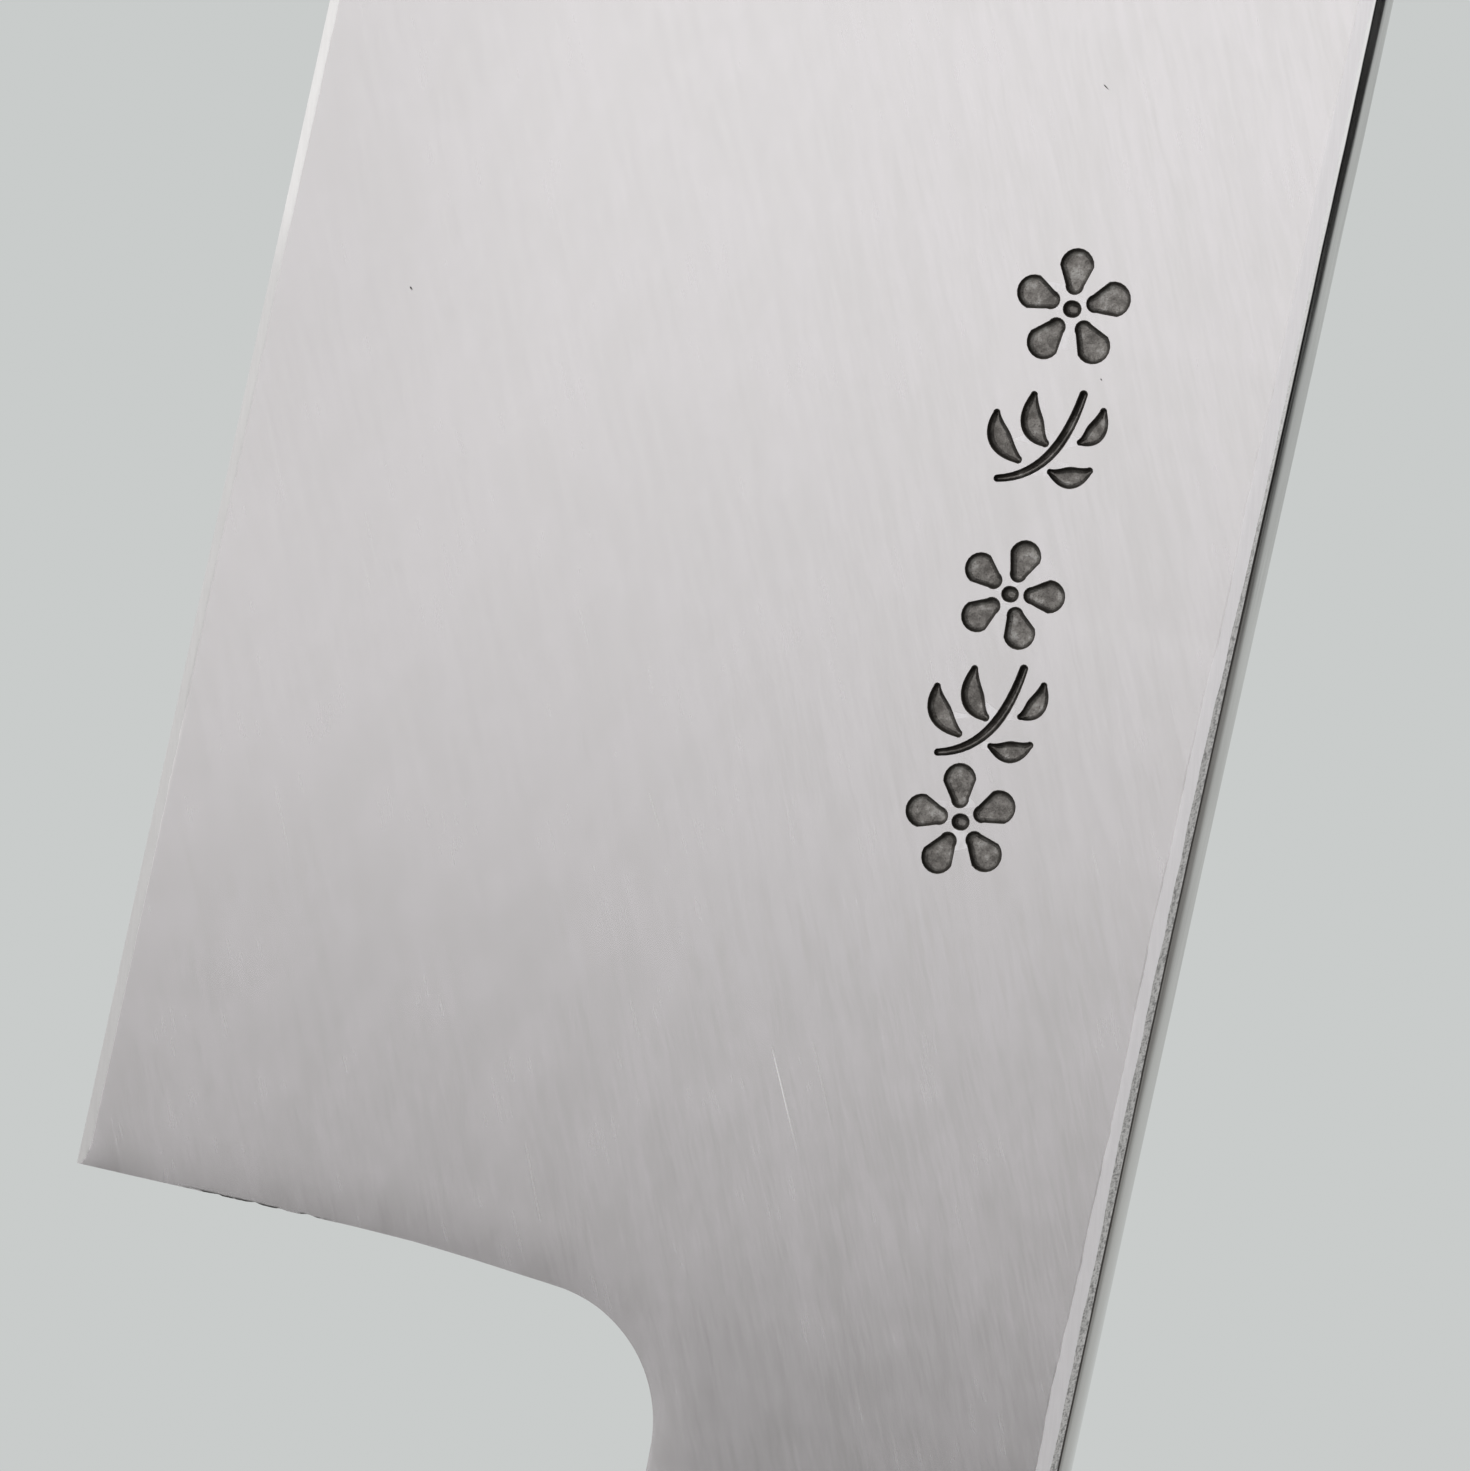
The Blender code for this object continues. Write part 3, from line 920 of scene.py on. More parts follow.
@dataclass(frozen=True)
class Magnolia:
    """Bare sanded magnolia wood, whose rings run lengthwise through the handle.

    The pith lies at an X and a Y of the frame, in metres. A year's ring is so many millimetres wide.
    """

    name: str = "magnolia"
    pale: Colour = (0.655, 0.475, 0.295)
    deep: Colour = (0.50, 0.345, 0.20)
    pith: tuple[float, float] = (0.062, -0.048)
    ring: float = 2.3

    def make(self) -> bpy.types.Material:
        """Build the material.

        Returns:
            The material.
        """
        work = NodeWork(self.name)
        work.set(Specular_IOR_Level=0.35)
        drift = work.noise(Spread.ALONG_KNIFE, (14.0, 14.0, 120.0))
        side = work.less(work.axis(Way.HEIGHT), self.pith[0])
        depth = work.less(work.axis(Way.DEPTH), self.pith[1])
        square = work.times_plus(side, side, work.times(depth, depth))
        reach = work.math("DIVIDE", work.math("SQRT", square), self.ring * MM)
        reach = work.times_plus(drift, 3.0, reach)
        year = work.math("FRACT", reach)
        late = work.times(work.ramp(year, 0.35, 0.93), work.ramp(year, 1.0, 0.94))
        fibre = work.noise(Spread.ALONG_KNIFE, (0.10, 0.10, 7.0), 3.0, 0.6)
        pore = work.noise(Spread.ALONG_KNIFE, (0.07, 0.07, 1.6), 1.0)
        cloud = work.noise(Spread.ALONG_KNIFE, (5.0, 5.0, 45.0), 3.0)
        tone = work.times(late, 0.55)
        tone = work.times_plus(work.less(fibre, 0.5), 0.5, tone)
        tone = work.times_plus(work.less(cloud, 0.5), 0.5, tone)
        wood = work.mix(work.ramp(tone, -0.2, 0.75), self.pale, self.deep)
        dots = work.ramp(pore, 0.68, 0.76)
        work.join(work.mix(work.times(dots, 0.35), wood, (0.20, 0.125, 0.07)), "Base Color")
        work.join(work.ramp(fibre, 0.3, 0.7, 0.50, 0.64), "Roughness")
        relief = work.times_plus(dots, -0.7, work.times_plus(late, 0.25, fibre))
        work.bump(relief, 14.0)
        return work.owner


@dataclass(frozen=True)
class SlotResin:
    """Dark resin that was poured round the tang."""

    name: str = "slot_resin"
    colour: Colour = (0.085, 0.048, 0.024)

    def make(self) -> bpy.types.Material:
        """Build the material.

        Returns:
            The material.
        """
        work = NodeWork(self.name)
        work.set(Specular_IOR_Level=0.5)
        cloud = work.noise(Spread.ALONG_KNIFE, (1.2, 1.2, 1.2), 3.0)
        dark = tuple(part * 0.55 for part in self.colour)
        work.join(work.mix(work.ramp(cloud, 0.35, 0.65), dark, self.colour), "Base Color")
        work.join(work.ramp(cloud, 0.35, 0.65, 0.28, 0.45), "Roughness")
        work.bump(cloud, 40.0)
        return work.owner


# The blade.


@dataclass(frozen=True)
class BladeShape:
    """The blade's outline, thicknesses, hollow and weld, in millimetres.

    Heights are over the cutting edge, depths lie under the back plane and places are from the heel.

    Attributes:
        flat_thinning: How much thinner the front flat is at the bevel's ridge.
        steel_thickness: Depth of the weld.
        heel_rim: How much wider the spine's rim is near the heel.
        runout: Length over which the hollow runs out at each end.
        hollow_end: Where the hollow ends in the neck, from the heel.
        end_lean: How far the spine's corner of the square end lies back.
        end_radius: Radius of that corner.
        rear: The rear edge from the heel to the shoulder as (along, height, radius).
        scarf_start: Where the scarf starts in the neck, from the heel.
        lean_depths: Depths from the back plane at which the spine's lean is given.
        leans: The spine's lean there in degrees, at places from the heel.
        corner_widths: Width of the spine's filed corner near the heel and past it.
        corner_change: Where its width changes.
        roll_width: Width of the buffed roll along the rear edge.
        roll_drop: How far the back falls away at the rear edge.
        front_ease: Width of the eased rim of the front.
        front_chamfer: Width of the filed corner between spine and front.
        weld_wave: How far the weld line wanders on the bevel.
        bow_length: Length of the slight hollow of the spine's line, from the heel.
        heel_wear: How much lower the spine's line is near the heel.
        wear_change: Where this ends and starts.
        end_lift: How much higher the spine's line is past the slight hollow.
        lift_change: Where it rises.
    """

    edge_length: float = 180.0
    neck_length: float = 15.0
    height_at_heel: float = 47.0
    height_at_end: float = 46.7
    bevel_height: float = 23.0
    spine_at_heel: float = 4.0
    spine_at_end: float = 3.4
    flat_thinning: float = 0.3
    edge_thickness: float = 0.05
    steel_thickness: float = 1.1
    hollow_depth: float = 0.4
    edge_rim: float = 0.44
    spine_rim: float = 0.42
    heel_rim: float = 0.15
    end_rim: float = 0.8
    runout: float = 6.0
    hollow_end: float = 13.0
    end_lean: float = 1.2
    end_radius: float = 3.0
    rear: tuple[tuple[float, float, float], ...] = (
        (0.0, 0.0, 0.0),
        (-0.02, 16.0, 69.0),
        (-1.08, 28.45, 6.25),
        (-15.0, 28.9, 0.0),
    )
    scarf_start: float = 8.5
    scarf_length: float = 5.0
    lean_depths: tuple[float, ...] = (0.0, 0.4, 0.8, 1.2, 1.6, 2.0, 2.4, 4.0)
    leans: tuple[tuple[float, tuple[float, ...]], ...] = (
        (-3.0, (0.0, 0.55, 0.9, 1.5, 2.1, 2.7, 3.4, 6.0)),
        (3.7, (0.0, 0.45, 0.62, 1.2, 1.8, 2.5, 3.1, 5.6)),
        (8.3, (0.0, 0.43, 0.5, 1.05, 1.6, 2.2, 2.7, 4.8)),
        (12.8, (0.0, 0.42, 0.42, 0.8, 1.15, 1.6, 2.0, 3.2)),
        (17.4, (0.0, 0.44, 0.45, 0.44, 0.82, 1.2, 1.35, 2.0)),
        (31.0, (0.0, 0.25, 0.36, 0.44, 0.85, 1.2, 1.3, 1.4)),
        (40.0, (0.0, 0.33, 0.46, 0.46, 0.93, 1.25, 1.35, 1.4)),
        (45.0, (0.15, 0.15, -0.02, 0.48, 1.02, 1.25, 1.35, 1.4)),
        (49.0, (0.15, 0.15, -0.2, -0.05, 0.85, 1.2, 1.3, 1.4)),
        (54.0, (0.15, 0.12, 0.05, -0.45, 0.72, 1.2, 1.25, 1.3)),
        (58.6, (0.15, 0.05, -0.1, -0.55, 0.25, 1.1, 1.2, 1.2)),
        (62.0, (0.15, 0.15, 0.1, -0.2, -0.6, 0.8, 1.2, 1.2)),
    )
    corner_widths: tuple[float, float] = (0.285, 0.13)
    corner_change: tuple[float, float] = (24.0, 46.0)
    roll_width: float = 2.5
    roll_drop: float = 0.034
    front_ease: float = 0.8
    front_chamfer: float = 0.1
    weld_wave: float = 0.35
    bow_length: float = 50.0
    bow_depth: float = 0.11
    heel_wear: float = 0.063
    wear_change: tuple[float, float] = (31.0, 10.0)
    end_lift: float = 0.03
    lift_change: tuple[float, float] = (51.0, 57.0)

    def rear_path(self) -> np.ndarray:
        """The rear edge from the heel to the shoulder.

        Returns:
            Points as (along, height), in rising order of height.
        """
        path = [np.array(self.rear[0][:2])]
        for before, corner, after in zip(self.rear, self.rear[1:], self.rear[2:]):
            spot = np.array(corner[:2])
            back, ahead = np.array(before[:2]) - spot, np.array(after[:2]) - spot
            lengths = np.linalg.norm(back), np.linalg.norm(ahead)
            back, ahead = back / lengths[0], ahead / lengths[1]
            half = math.acos(float(back @ ahead)) / 2
            reach = min(corner[2] / math.tan(half), 0.45 * min(lengths))
            radius = reach * math.tan(half)
            bisector = (back + ahead) / np.linalg.norm(back + ahead)
            centre = spot + bisector * radius / math.sin(half)
            arm = spot + back * reach - centre
            turn = math.pi - 2 * half
            turn *= math.copysign(1.0, arm[0] * ahead[1] - arm[1] * ahead[0])
            for angle in steps_between(0.0, turn, math.radians(2.5)):
                swing = np.array([[math.cos(angle), -math.sin(angle)], [math.sin(angle), math.cos(angle)]])
                path.append(centre + swing @ arm)
        path.append(np.array(self.rear[-1][:2]))
        return np.array(path)

    def top(self, along: np.ndarray) -> np.ndarray:
        """Height of the spine over the cutting edge, with the slight hollow that use of the stone left.

        Args:
            along: Places from the heel.

        Returns:
            The height there.
        """
        line = self.height_at_heel + (self.height_at_end - self.height_at_heel) * along / self.edge_length
        bow = np.cos(2.0 * math.pi * np.clip(along / self.bow_length, 0.0, 1.0))
        worn = self.heel_wear * smooth_step(along, *self.wear_change)
        lift = self.end_lift * smooth_step(along, *self.lift_change)
        return line - self.bow_depth * (1.0 - bow) / 2.0 - worn + lift

    def corner(self, along: np.ndarray) -> np.ndarray:
        """Width of the filed corner between the back and the spine.

        Args:
            along: Places from the heel.

        Returns:
            The width there.
        """
        wide, narrow = self.corner_widths
        width = wide + (narrow - wide) * smooth_step(along, *self.corner_change)
        return width + 0.03 * ripple(along, 1.7, 11) + 0.016 * ripple(along, 0.55, 12)

    def front_flat(self, along: np.ndarray, height: np.ndarray) -> np.ndarray:
        """Depth of the plane of the front flat.

        Args:
            along: Places from the heel.
            height: Heights over the edge.

        Returns:
            The depth there.
        """
        spine = self.spine_at_heel + (self.spine_at_end - self.spine_at_heel) * along / self.edge_length
        slope = self.flat_thinning / (self.height_at_heel - self.bevel_height)
        return spine - slope * (self.height_at_heel - height)

    def front(self, along: np.ndarray, height: np.ndarray) -> np.ndarray:
        """Depth of the front: the flat, and the bevel below its ridge.

        Args:
            along: Places from the heel.
            height: Heights over the edge.

        Returns:
            The depth there.
        """
        ridge = self.front_flat(along, self.bevel_height)
        bevel = self.edge_thickness + (ridge - self.edge_thickness) * height / self.bevel_height
        return np.where(height < self.bevel_height, bevel, self.front_flat(along, height))

    def weld_line(self, along: np.ndarray) -> np.ndarray:
        """Height at which the weld comes out on the bevel.

        Args:
            along: Places from the heel.

        Returns:
            The height there.
        """
        level = np.maximum(along, 0.0)
        ridge = self.front_flat(level, self.bevel_height)
        rise = (self.steel_thickness - self.edge_thickness) / (ridge - self.edge_thickness)
        wave = 0.75 * ripple(along, 11.0, 21) + 0.25 * ripple(along, 3.0, 22)
        return self.bevel_height * rise + self.weld_wave * wave * smooth_step(along, 3.0, 9.0)

    def weld(self, along: np.ndarray, height: np.ndarray) -> np.ndarray:
        """Depth of the weld, with its scarf in the neck.

        Args:
            along: Places from the heel.
            height: Heights over the edge.

        Returns:
            The depth there.
        """
        line = self.weld_line(along)
        at_line = self.front(along, line)
        fade = np.clip(1.0 - (height - line) / 2.0, 0.0, 1.0)
        depth = self.steel_thickness + (at_line - self.steel_thickness) * fade
        scarf = 1.0 - (-self.scarf_start - along) / self.scarf_length
        return depth * np.clip(scarf, 0.0, 1.0)

    def rear_end(self, height: np.ndarray) -> np.ndarray:
        """Where the blade ends toward the handle, at each height."""
        path = self.rear_path()
        return np.interp(height, path[:, 1], path[:, 0], right=-self.neck_length)

    def tip_end(self, height: np.ndarray) -> np.ndarray:
        """Where the square end lies, at each height.

        Args:
            height: Heights over the edge.

        Returns:
            The place of the end.
        """
        corner = self.height_at_end + 0.4 - self.end_radius
        past = np.clip(height - corner, 0.0, self.end_radius)
        drop = self.end_radius - np.sqrt(self.end_radius**2 - past**2)
        return self.edge_length - self.end_lean * height / self.height_at_end - drop

    def rear_gap(self, along: np.ndarray, height: np.ndarray) -> np.ndarray:
        """Distance from the rear edge, up to a few millimetres.

        Args:
            along: Places from the heel.
            height: Heights over the edge.

        Returns:
            The distance there.
        """
        path = self.rear_path()
        gap = np.full(along.shape, 6.0)
        near = along < 6.0
        spots = np.stack([along[near], height[near]], axis=-1)
        best = np.full(len(spots), 6.0)
        for start, end in zip(path, path[1:]):
            run = end - start
            share = np.clip((spots - start) @ run / (run @ run), 0.0, 1.0)
            best = np.minimum(best, np.linalg.norm(spots - start - share[:, None] * run, axis=1))
        gap[near] = best
        return gap

    def hollow_level(self, along: np.ndarray, height: np.ndarray) -> np.ndarray:
        """How deep the hollow is as a share of its full depth; below 0 lie the flat rims.

        Args:
            along: Places from the heel.
            height: Heights over the edge.

        Returns:
            The share there.
        """
        narrowing = 1.0 - 0.7 * np.exp(-np.maximum(along, 0.0) / 0.4)
        low = self.edge_rim * narrowing + 0.04 * ripple(along, 6.0, 51)
        rim = self.spine_rim + self.heel_rim * smooth_step(along, 22.0, 6.0)
        wander = 0.09 * ripple(along, 5.0, 52) + 0.03 * ripple(along, 1.2, 53)
        high = self.top(along) - 0.33 - rim + wander
        across = (2.0 * height - low - high) / (high - low)
        end = self.edge_length - self.end_lean - self.end_rim
        tip = np.clip((along - end + self.runout) / self.runout, 0.0, None)
        neck = np.clip((-self.hollow_end + self.runout - along) / self.runout, 0.0, None)
        return 1.0 - across**2 - tip**2 - neck**2

    def back(self, along: np.ndarray, height: np.ndarray, gap: np.ndarray) -> np.ndarray:
        """Depth of the back: the hollow, the rims and the buffed roll along the rear edge.

        Args:
            along: Places from the heel.
            height: Heights over the edge.
            gap: Distances from the rear edge.

        Returns:
            The depth there.
        """
        hollow = self.hollow_depth * np.clip(self.hollow_level(along, height), 0.0, None)
        share = np.clip(1.0 - gap / self.roll_width, 0.0, 1.0)
        drop = self.roll_drop * (0.42 + 0.58 * smooth_step(height, 5.0, 17.0))
        drop = drop * smooth_step(along, -9.0, -5.0)
        return hollow + drop * share**2 * smooth_step(height, 0.6, 2.2)

    def crown(self, along: np.ndarray, depth: np.ndarray) -> np.ndarray:
        """How far the spine lies below its line: its lean, added up from the back.

        Args:
            along: Places from the heel.
            depth: Depths under the back plane.

        Returns:
            The drop there.
        """
        places = [place for place, _ in self.leans]
        tilts = [np.interp(along, places, values) for values in zip(*(values for _, values in self.leans))]
        stations = list(zip(self.lean_depths, tilts))
        total = np.zeros_like(along * depth)
        for (start, first), (end, last) in zip(stations, stations[1:]):
            part = np.clip(depth, start, end) - start
            total = total + first * part + (last - first) / (end - start) * part**2 / 2.0
        return np.radians(total)

    def front_drop(self, along: np.ndarray, height: np.ndarray, gap: np.ndarray) -> np.ndarray:
        """How much the eased rim of the front takes off.

        Args:
            along: Places from the heel.
            height: Heights over the edge.
            gap: Distances from the rear edge.

        Returns:
            The loss of depth there.
        """
        tip = self.tip_end(height) - along
        shoulder = np.where(height > self.rear[-1][1], along + self.neck_length, self.front_ease)
        near = np.minimum(np.minimum(gap, tip), shoulder)
        return np.clip(self.front_ease - near, 0.0, None)


@dataclass(frozen=True)
class Columns:
    """The grid that both layers share: heights of the columns and places of the rows.

    Heights and places are in millimetres, as in the shape.

    Attributes:
        shape: The blade's shape.
        low: Heights of the columns over the cutting edge, before they lie evenly.
        choil: Heights of the columns behind the round of the neck.
        high: Heights of the columns under the spine.
        follows: Height from which the columns follow the spine.
        span: Height over which they come to follow it.
        apart: Least distance of two columns.
        end_fan: Place from which the rows fan out to the square end.
        coarse: Place from which the rows lie closer together, toward the heel.
        heel_fan: Place from which the rows fan out to the rear edge.
    """

    shape: BladeShape
    low: tuple[float, ...] = (0.0, 0.1, 0.2, 0.3, 0.42, 0.54, 0.66, 0.8, 1.0, 1.3, 1.7, 2.3, 3.1, 4.0, 4.8)
    choil: tuple[float, ...] = (29.2, 29.5, 29.8, 30.2, 30.7, 31.4, 32.2, 33.0)
    high: tuple[float, ...] = (44.6, 45.1, 45.5, 45.7, 45.82, 45.92, 46.02, 46.14, 46.3, 46.5)
    follows: float = 44.0
    span: float = 3.0
    apart: float = 0.06
    end_fan: float = 170.0
    coarse: float = 62.0
    heel_fan: float = 3.0

    def nominal(self) -> np.ndarray:
        """Heights of the columns at the heel, from the cutting edge to near the spine.

        Returns:
            The heights, rising.
        """
        weld = float(self.shape.weld_line(np.zeros(1))[0])
        path = self.shape.rear_path()
        blocks = [
            self.low,
            steps_between(5.2, 12.6, 0.19),
            [weld],
            steps_between(13.2, 22.4, 0.8),
            [self.shape.bevel_height],
            path[path[:, 1] > 12.8, 1],
            self.choil,
            steps_between(34.0, self.follows, 1.0),
            self.high,
        ]
        heights = np.unique(np.concatenate([np.asarray(block, dtype=float) for block in blocks]))
        keep = [heights[0]]
        fixed = {round(value, 6) for value in (weld, self.shape.bevel_height, path[-1, 1])}
        for height in heights[1:]:
            if height - keep[-1] > self.apart:
                keep.append(height)
            elif round(float(height), 6) in fixed:
                keep[-1] = height
        return np.array(keep)

    def heights(self, nominal: np.ndarray, along: np.ndarray) -> np.ndarray:
        """Where the columns lie at each place along the blade.

        Args:
            nominal: Heights at the heel.
            along: Rows by columns of places.

        Returns:
            Heights that follow the weld line below the bevel's ridge and the spine above.
        """
        start = float(self.shape.weld_line(np.zeros(1))[0])
        ridge = self.shape.bevel_height
        line = self.shape.weld_line(along)
        below = nominal * line / start
        between = line + (nominal - start) * (ridge - line) / (ridge - start)
        lift = self.shape.top(along) - self.shape.height_at_heel
        spine = nominal + lift * (nominal - self.follows) / self.span
        heights = np.where(nominal <= start, below, np.where(nominal < ridge, between, nominal))
        return np.where(nominal > self.follows, spine, heights)

    def rows(self, nominal: np.ndarray, rear_end: np.ndarray) -> np.ndarray:
        """Places of the rows in every column, from the square end to the rear edge.

        Args:
            nominal: Heights of the columns at the heel.
            rear_end: Where each column ends.

        Returns:
            Rows by columns of places.
        """
        tip = self.shape.tip_end(nominal)
        upper = np.linspace(0.0, 1.0, 15)[:, None] ** 1.6
        sparse = steps_between(self.end_fan, self.coarse, 1.8)[1:]
        middle = np.concatenate([sparse, steps_between(self.coarse, self.heel_fan, 0.36)[1:]])
        lower = 1.0 - (1.0 - np.linspace(0.0, 1.0, 43)[1:, None]) ** 1.7
        return np.concatenate(
            [
                tip + (self.end_fan - tip) * upper,
                np.repeat(middle[:, None], len(nominal), axis=1),
                self.heel_fan + (rear_end - self.heel_fan) * lower,
            ]
        )


@dataclass(frozen=True)
class Forging:
    """Builds the two layers of the blade as closed shells over one shared grid.

    Attributes:
        columns: The grid.
        placing: Where the blade lies.
        corner_round: Radius between the filed corner and the spine, in millimetres.
        feather: Least thickness of a layer, in millimetres.
    """

    columns: Columns
    placing: Placing
    corner_round: float = 0.09
    feather: float = 0.004

    def ragged(self, height: np.ndarray) -> np.ndarray:
        """Small nicks in the rear edge, as a shift along the blade.

        Args:
            height: Heights over the edge.

        Returns:
            The shift there.
        """
        zone = smooth_step(height, 5.0, 6.5) * smooth_step(height, 12.4, 11.0)
        nick = np.clip(ripple(height, 0.42, 31) - 0.1, 0.0, None)
        return zone * 0.09 * nick + 0.006 * ripple(height, 0.8, 32) * smooth_step(height, 1.0, 3.0)

    def corner_columns(self, along: np.ndarray) -> list[tuple[np.ndarray, np.ndarray]]:
        """Columns over the filed corner and the small round that leads on to the spine.

        Args:
            along: Places from the heel.

        Returns:
            The columns as (height, depth).
        """
        width = self.columns.shape.corner(along)
        top = self.columns.shape.top(along)
        radius = self.corner_round
        columns = [(top - width, np.zeros_like(along)), (top - width / 2, width / 2)]
        for angle in np.radians([45.0, 60.0, 75.0, 90.0]):
            ahead = radius * (math.tan(math.radians(22.5)) - math.cos(angle))
            columns.append((top - radius * (1.0 - math.sin(angle)), width + ahead))
        return columns

    def spine_height(self, along: np.ndarray, depth: np.ndarray) -> np.ndarray:
        """Height of the spine or of its filed corner at a depth."""
        filed = np.clip(self.columns.shape.corner(along) - depth, 0.0, None)
        return self.columns.shape.top(along) - self.columns.shape.crown(along, depth) - filed

    def close(self, shell: Shell, first: int, rows: int, columns: int, paired: int, finish: int) -> None:
        """Close both ends of a layer by joining its back columns to its front columns.

        Args:
            shell: The shell that holds the layer's grid.
            first: Number of the grid's first point.
            rows: Number of rows.
            columns: Number of columns.
            paired: Number of back columns that have a partner on the front.
            finish: Finish of the new faces.
        """
        for row, outward in ((0, 1), (rows - 1, -1)):
            base = first + row * columns
            for i in range(paired - 1):
                corners = [base + i, base + columns - 1 - i, base + columns - 2 - i, base + i + 1]
                shell.add_face(corners[::outward], finish)
            rest = [base + i for i in range(paired - 1, columns - paired + 1)]
            shell.add_face(rest[::-outward], finish)

    def steel(self) -> Shell:
        """The layer of hard steel: back, corner, a part of the spine and the lower bevel.

        Returns:
            The closed shell.
        """
        shape = self.columns.shape
        nominal = self.columns.nominal()
        scarf_end = -shape.scarf_start - shape.scarf_length + 0.04
        rear = np.maximum(shape.rear_end(nominal) + self.ragged(nominal), scarf_end)
        along = self.columns.rows(nominal, rear)
        height = self.columns.heights(nominal, along)
        back = shape.back(along, height, shape.rear_gap(along, height))
        bevelled = height < shape.weld_line(along)
        front = np.where(bevelled, shape.front(along, height), shape.weld(along, height))
        front = np.maximum(front, back + self.feather)
        rim = along[:, -1:]
        weld = np.maximum(shape.weld(rim, shape.top(rim)), self.feather)
        ribs = []
        for spot, depth in self.corner_columns(rim):
            spot = np.where(depth > weld, self.spine_height(rim, weld), spot)
            ribs.append((spot, np.minimum(depth, weld)))
        start = ribs[-1][1]
        for share in (0.35, 0.7, 1.0):
            depth = start + (weld - start) * share
            ribs.append((self.spine_height(rim, depth), depth))
        kinds = [SteelSide.BACK] * len(nominal) + [SteelSide.CORNER] * 2
        kinds += [SteelSide.SPINE] * (len(ribs) - 2) + [SteelSide.BEVEL] * len(nominal)
        return self.fill(along, height, (back, front), ribs, kinds, SteelSide.WALL)

    def iron(self) -> Shell:
        """The body of soft iron: the rest of the spine, the front flat and the upper bevel.

        Returns:
            The closed shell.
        """
        shape = self.columns.shape
        nominal = self.columns.nominal()
        nominal = nominal[nominal >= float(shape.weld_line(np.zeros(1))[0]) - 1e-9]
        rear = shape.rear_end(nominal) + self.ragged(nominal)
        along = self.columns.rows(nominal, rear)
        height = self.columns.heights(nominal, along)
        gap = shape.rear_gap(along, height)
        back = np.maximum(shape.weld(along, height), shape.back(along, height, gap))
        drop = shape.front_drop(along, height, gap)
        front = np.maximum(shape.front(along, height) - drop, back + self.feather)
        rim = along[:, -1:]
        start = back[:, -1:]
        end = shape.front_flat(rim, shape.top(rim)) - shape.front_chamfer - drop[:, -1:]
        depths = [start + (end - start) * share for share in np.linspace(0.0, 1.0, 18)]
        ribs = [(self.spine_height(rim, depth), depth) for depth in depths]
        kinds = [IronSide.WALL] * len(nominal) + [IronSide.SPINE] * (len(ribs) - 1) + [IronSide.CORNER]
        ridge = shape.bevel_height + 1e-6
        kinds += [IronSide.BEVEL if spot <= ridge else IronSide.FLAT for spot in nominal[::-1]]
        return self.fill(along, height, (back, front), ribs, kinds, IronSide.WALL)

    def settle_normals(self, mesh: bpy.types.Mesh) -> None:
        """Give the back the exact normals of its shape, so that the punches' edges don't disturb it.

        Args:
            mesh: The punched steel layer.
        """
        points = np.empty(len(mesh.vertices) * 3)
        mesh.vertices.foreach_get("co", points)
        height, _, along = (points.reshape(-1, 3) - self.placing.points(0.0, 0.0, 0.0)).T / MM
        step = 0.01

        def level(ahead: float, up: float) -> np.ndarray:
            """Depth of the back a little ahead of or above each point."""
            spot = (along + ahead, height + up)
            return self.columns.shape.back(*spot, self.columns.shape.rear_gap(*spot))

        across = (level(0.0, step) - level(0.0, -step)) / (2.0 * step)
        lengthwise = (level(step, 0.0) - level(-step, 0.0)) / (2.0 * step)
        normals = np.stack([across, np.full_like(across, -1.0), lengthwise], axis=-1)
        normals /= np.linalg.norm(normals, axis=1, keepdims=True)
        normals[self.columns.shape.rear_gap(along, height) < 2.0 * step] = 0.0
        owners = np.empty(len(mesh.loops), dtype=np.int32)
        mesh.loops.foreach_get("vertex_index", owners)
        sides, corners = (np.empty(len(mesh.polygons), dtype=np.int32) for _ in range(2))
        mesh.polygons.foreach_get("material_index", sides)
        mesh.polygons.foreach_get("loop_total", corners)
        on_back = np.repeat(sides, corners) == int(SteelSide.BACK)
        mesh.normals_split_custom_set(np.where(on_back[:, None], normals[owners], 0.0).tolist())

    def fill(
        self,
        along: np.ndarray,
        height: np.ndarray,
        depths: tuple[np.ndarray, np.ndarray],
        ribs: Sequence[tuple[np.ndarray, np.ndarray]],
        kinds: Sequence[int],
        wall: int,
    ) -> Shell:
        """Turn a layer's grid into a closed shell.

        Args:
            along: Rows by columns of places along the blade.
            height: The heights there.
            depths: The depths there of the layer's back and of its front.
            ribs: The columns between back and front at the spine, as (height, depth).
            kinds: Finish number of each column of faces.
            wall: Finish number of the end walls.

        Returns:
            The shell, with the levels that the ground back reads.
        """
        back, front = depths
        rim = np.repeat(along[:, -1:], len(ribs), axis=1)
        all_along = np.concatenate([along, rim, along[:, ::-1]], axis=1)
        all_height = np.concatenate([height, *(rib[0] for rib in ribs), height[:, ::-1]], axis=1)
        all_depth = np.concatenate([back, *(rib[1] for rib in ribs), front[:, ::-1]], axis=1)
        shell = Shell()
        numbers = np.array([int(kind) for kind in kinds])
        first = shell.add_grid(self.placing.points(all_along, all_height, all_depth), numbers, closed=True)
        self.close(shell, first, *all_along.shape, along.shape[1], wall)
        shell.levels["hollow_level"] = [self.columns.shape.hollow_level(all_along, all_height).ravel()]
        shell.levels["rear_gap"] = [self.columns.shape.rear_gap(all_along, all_height).ravel()]
        return shell


# The punched ornament.


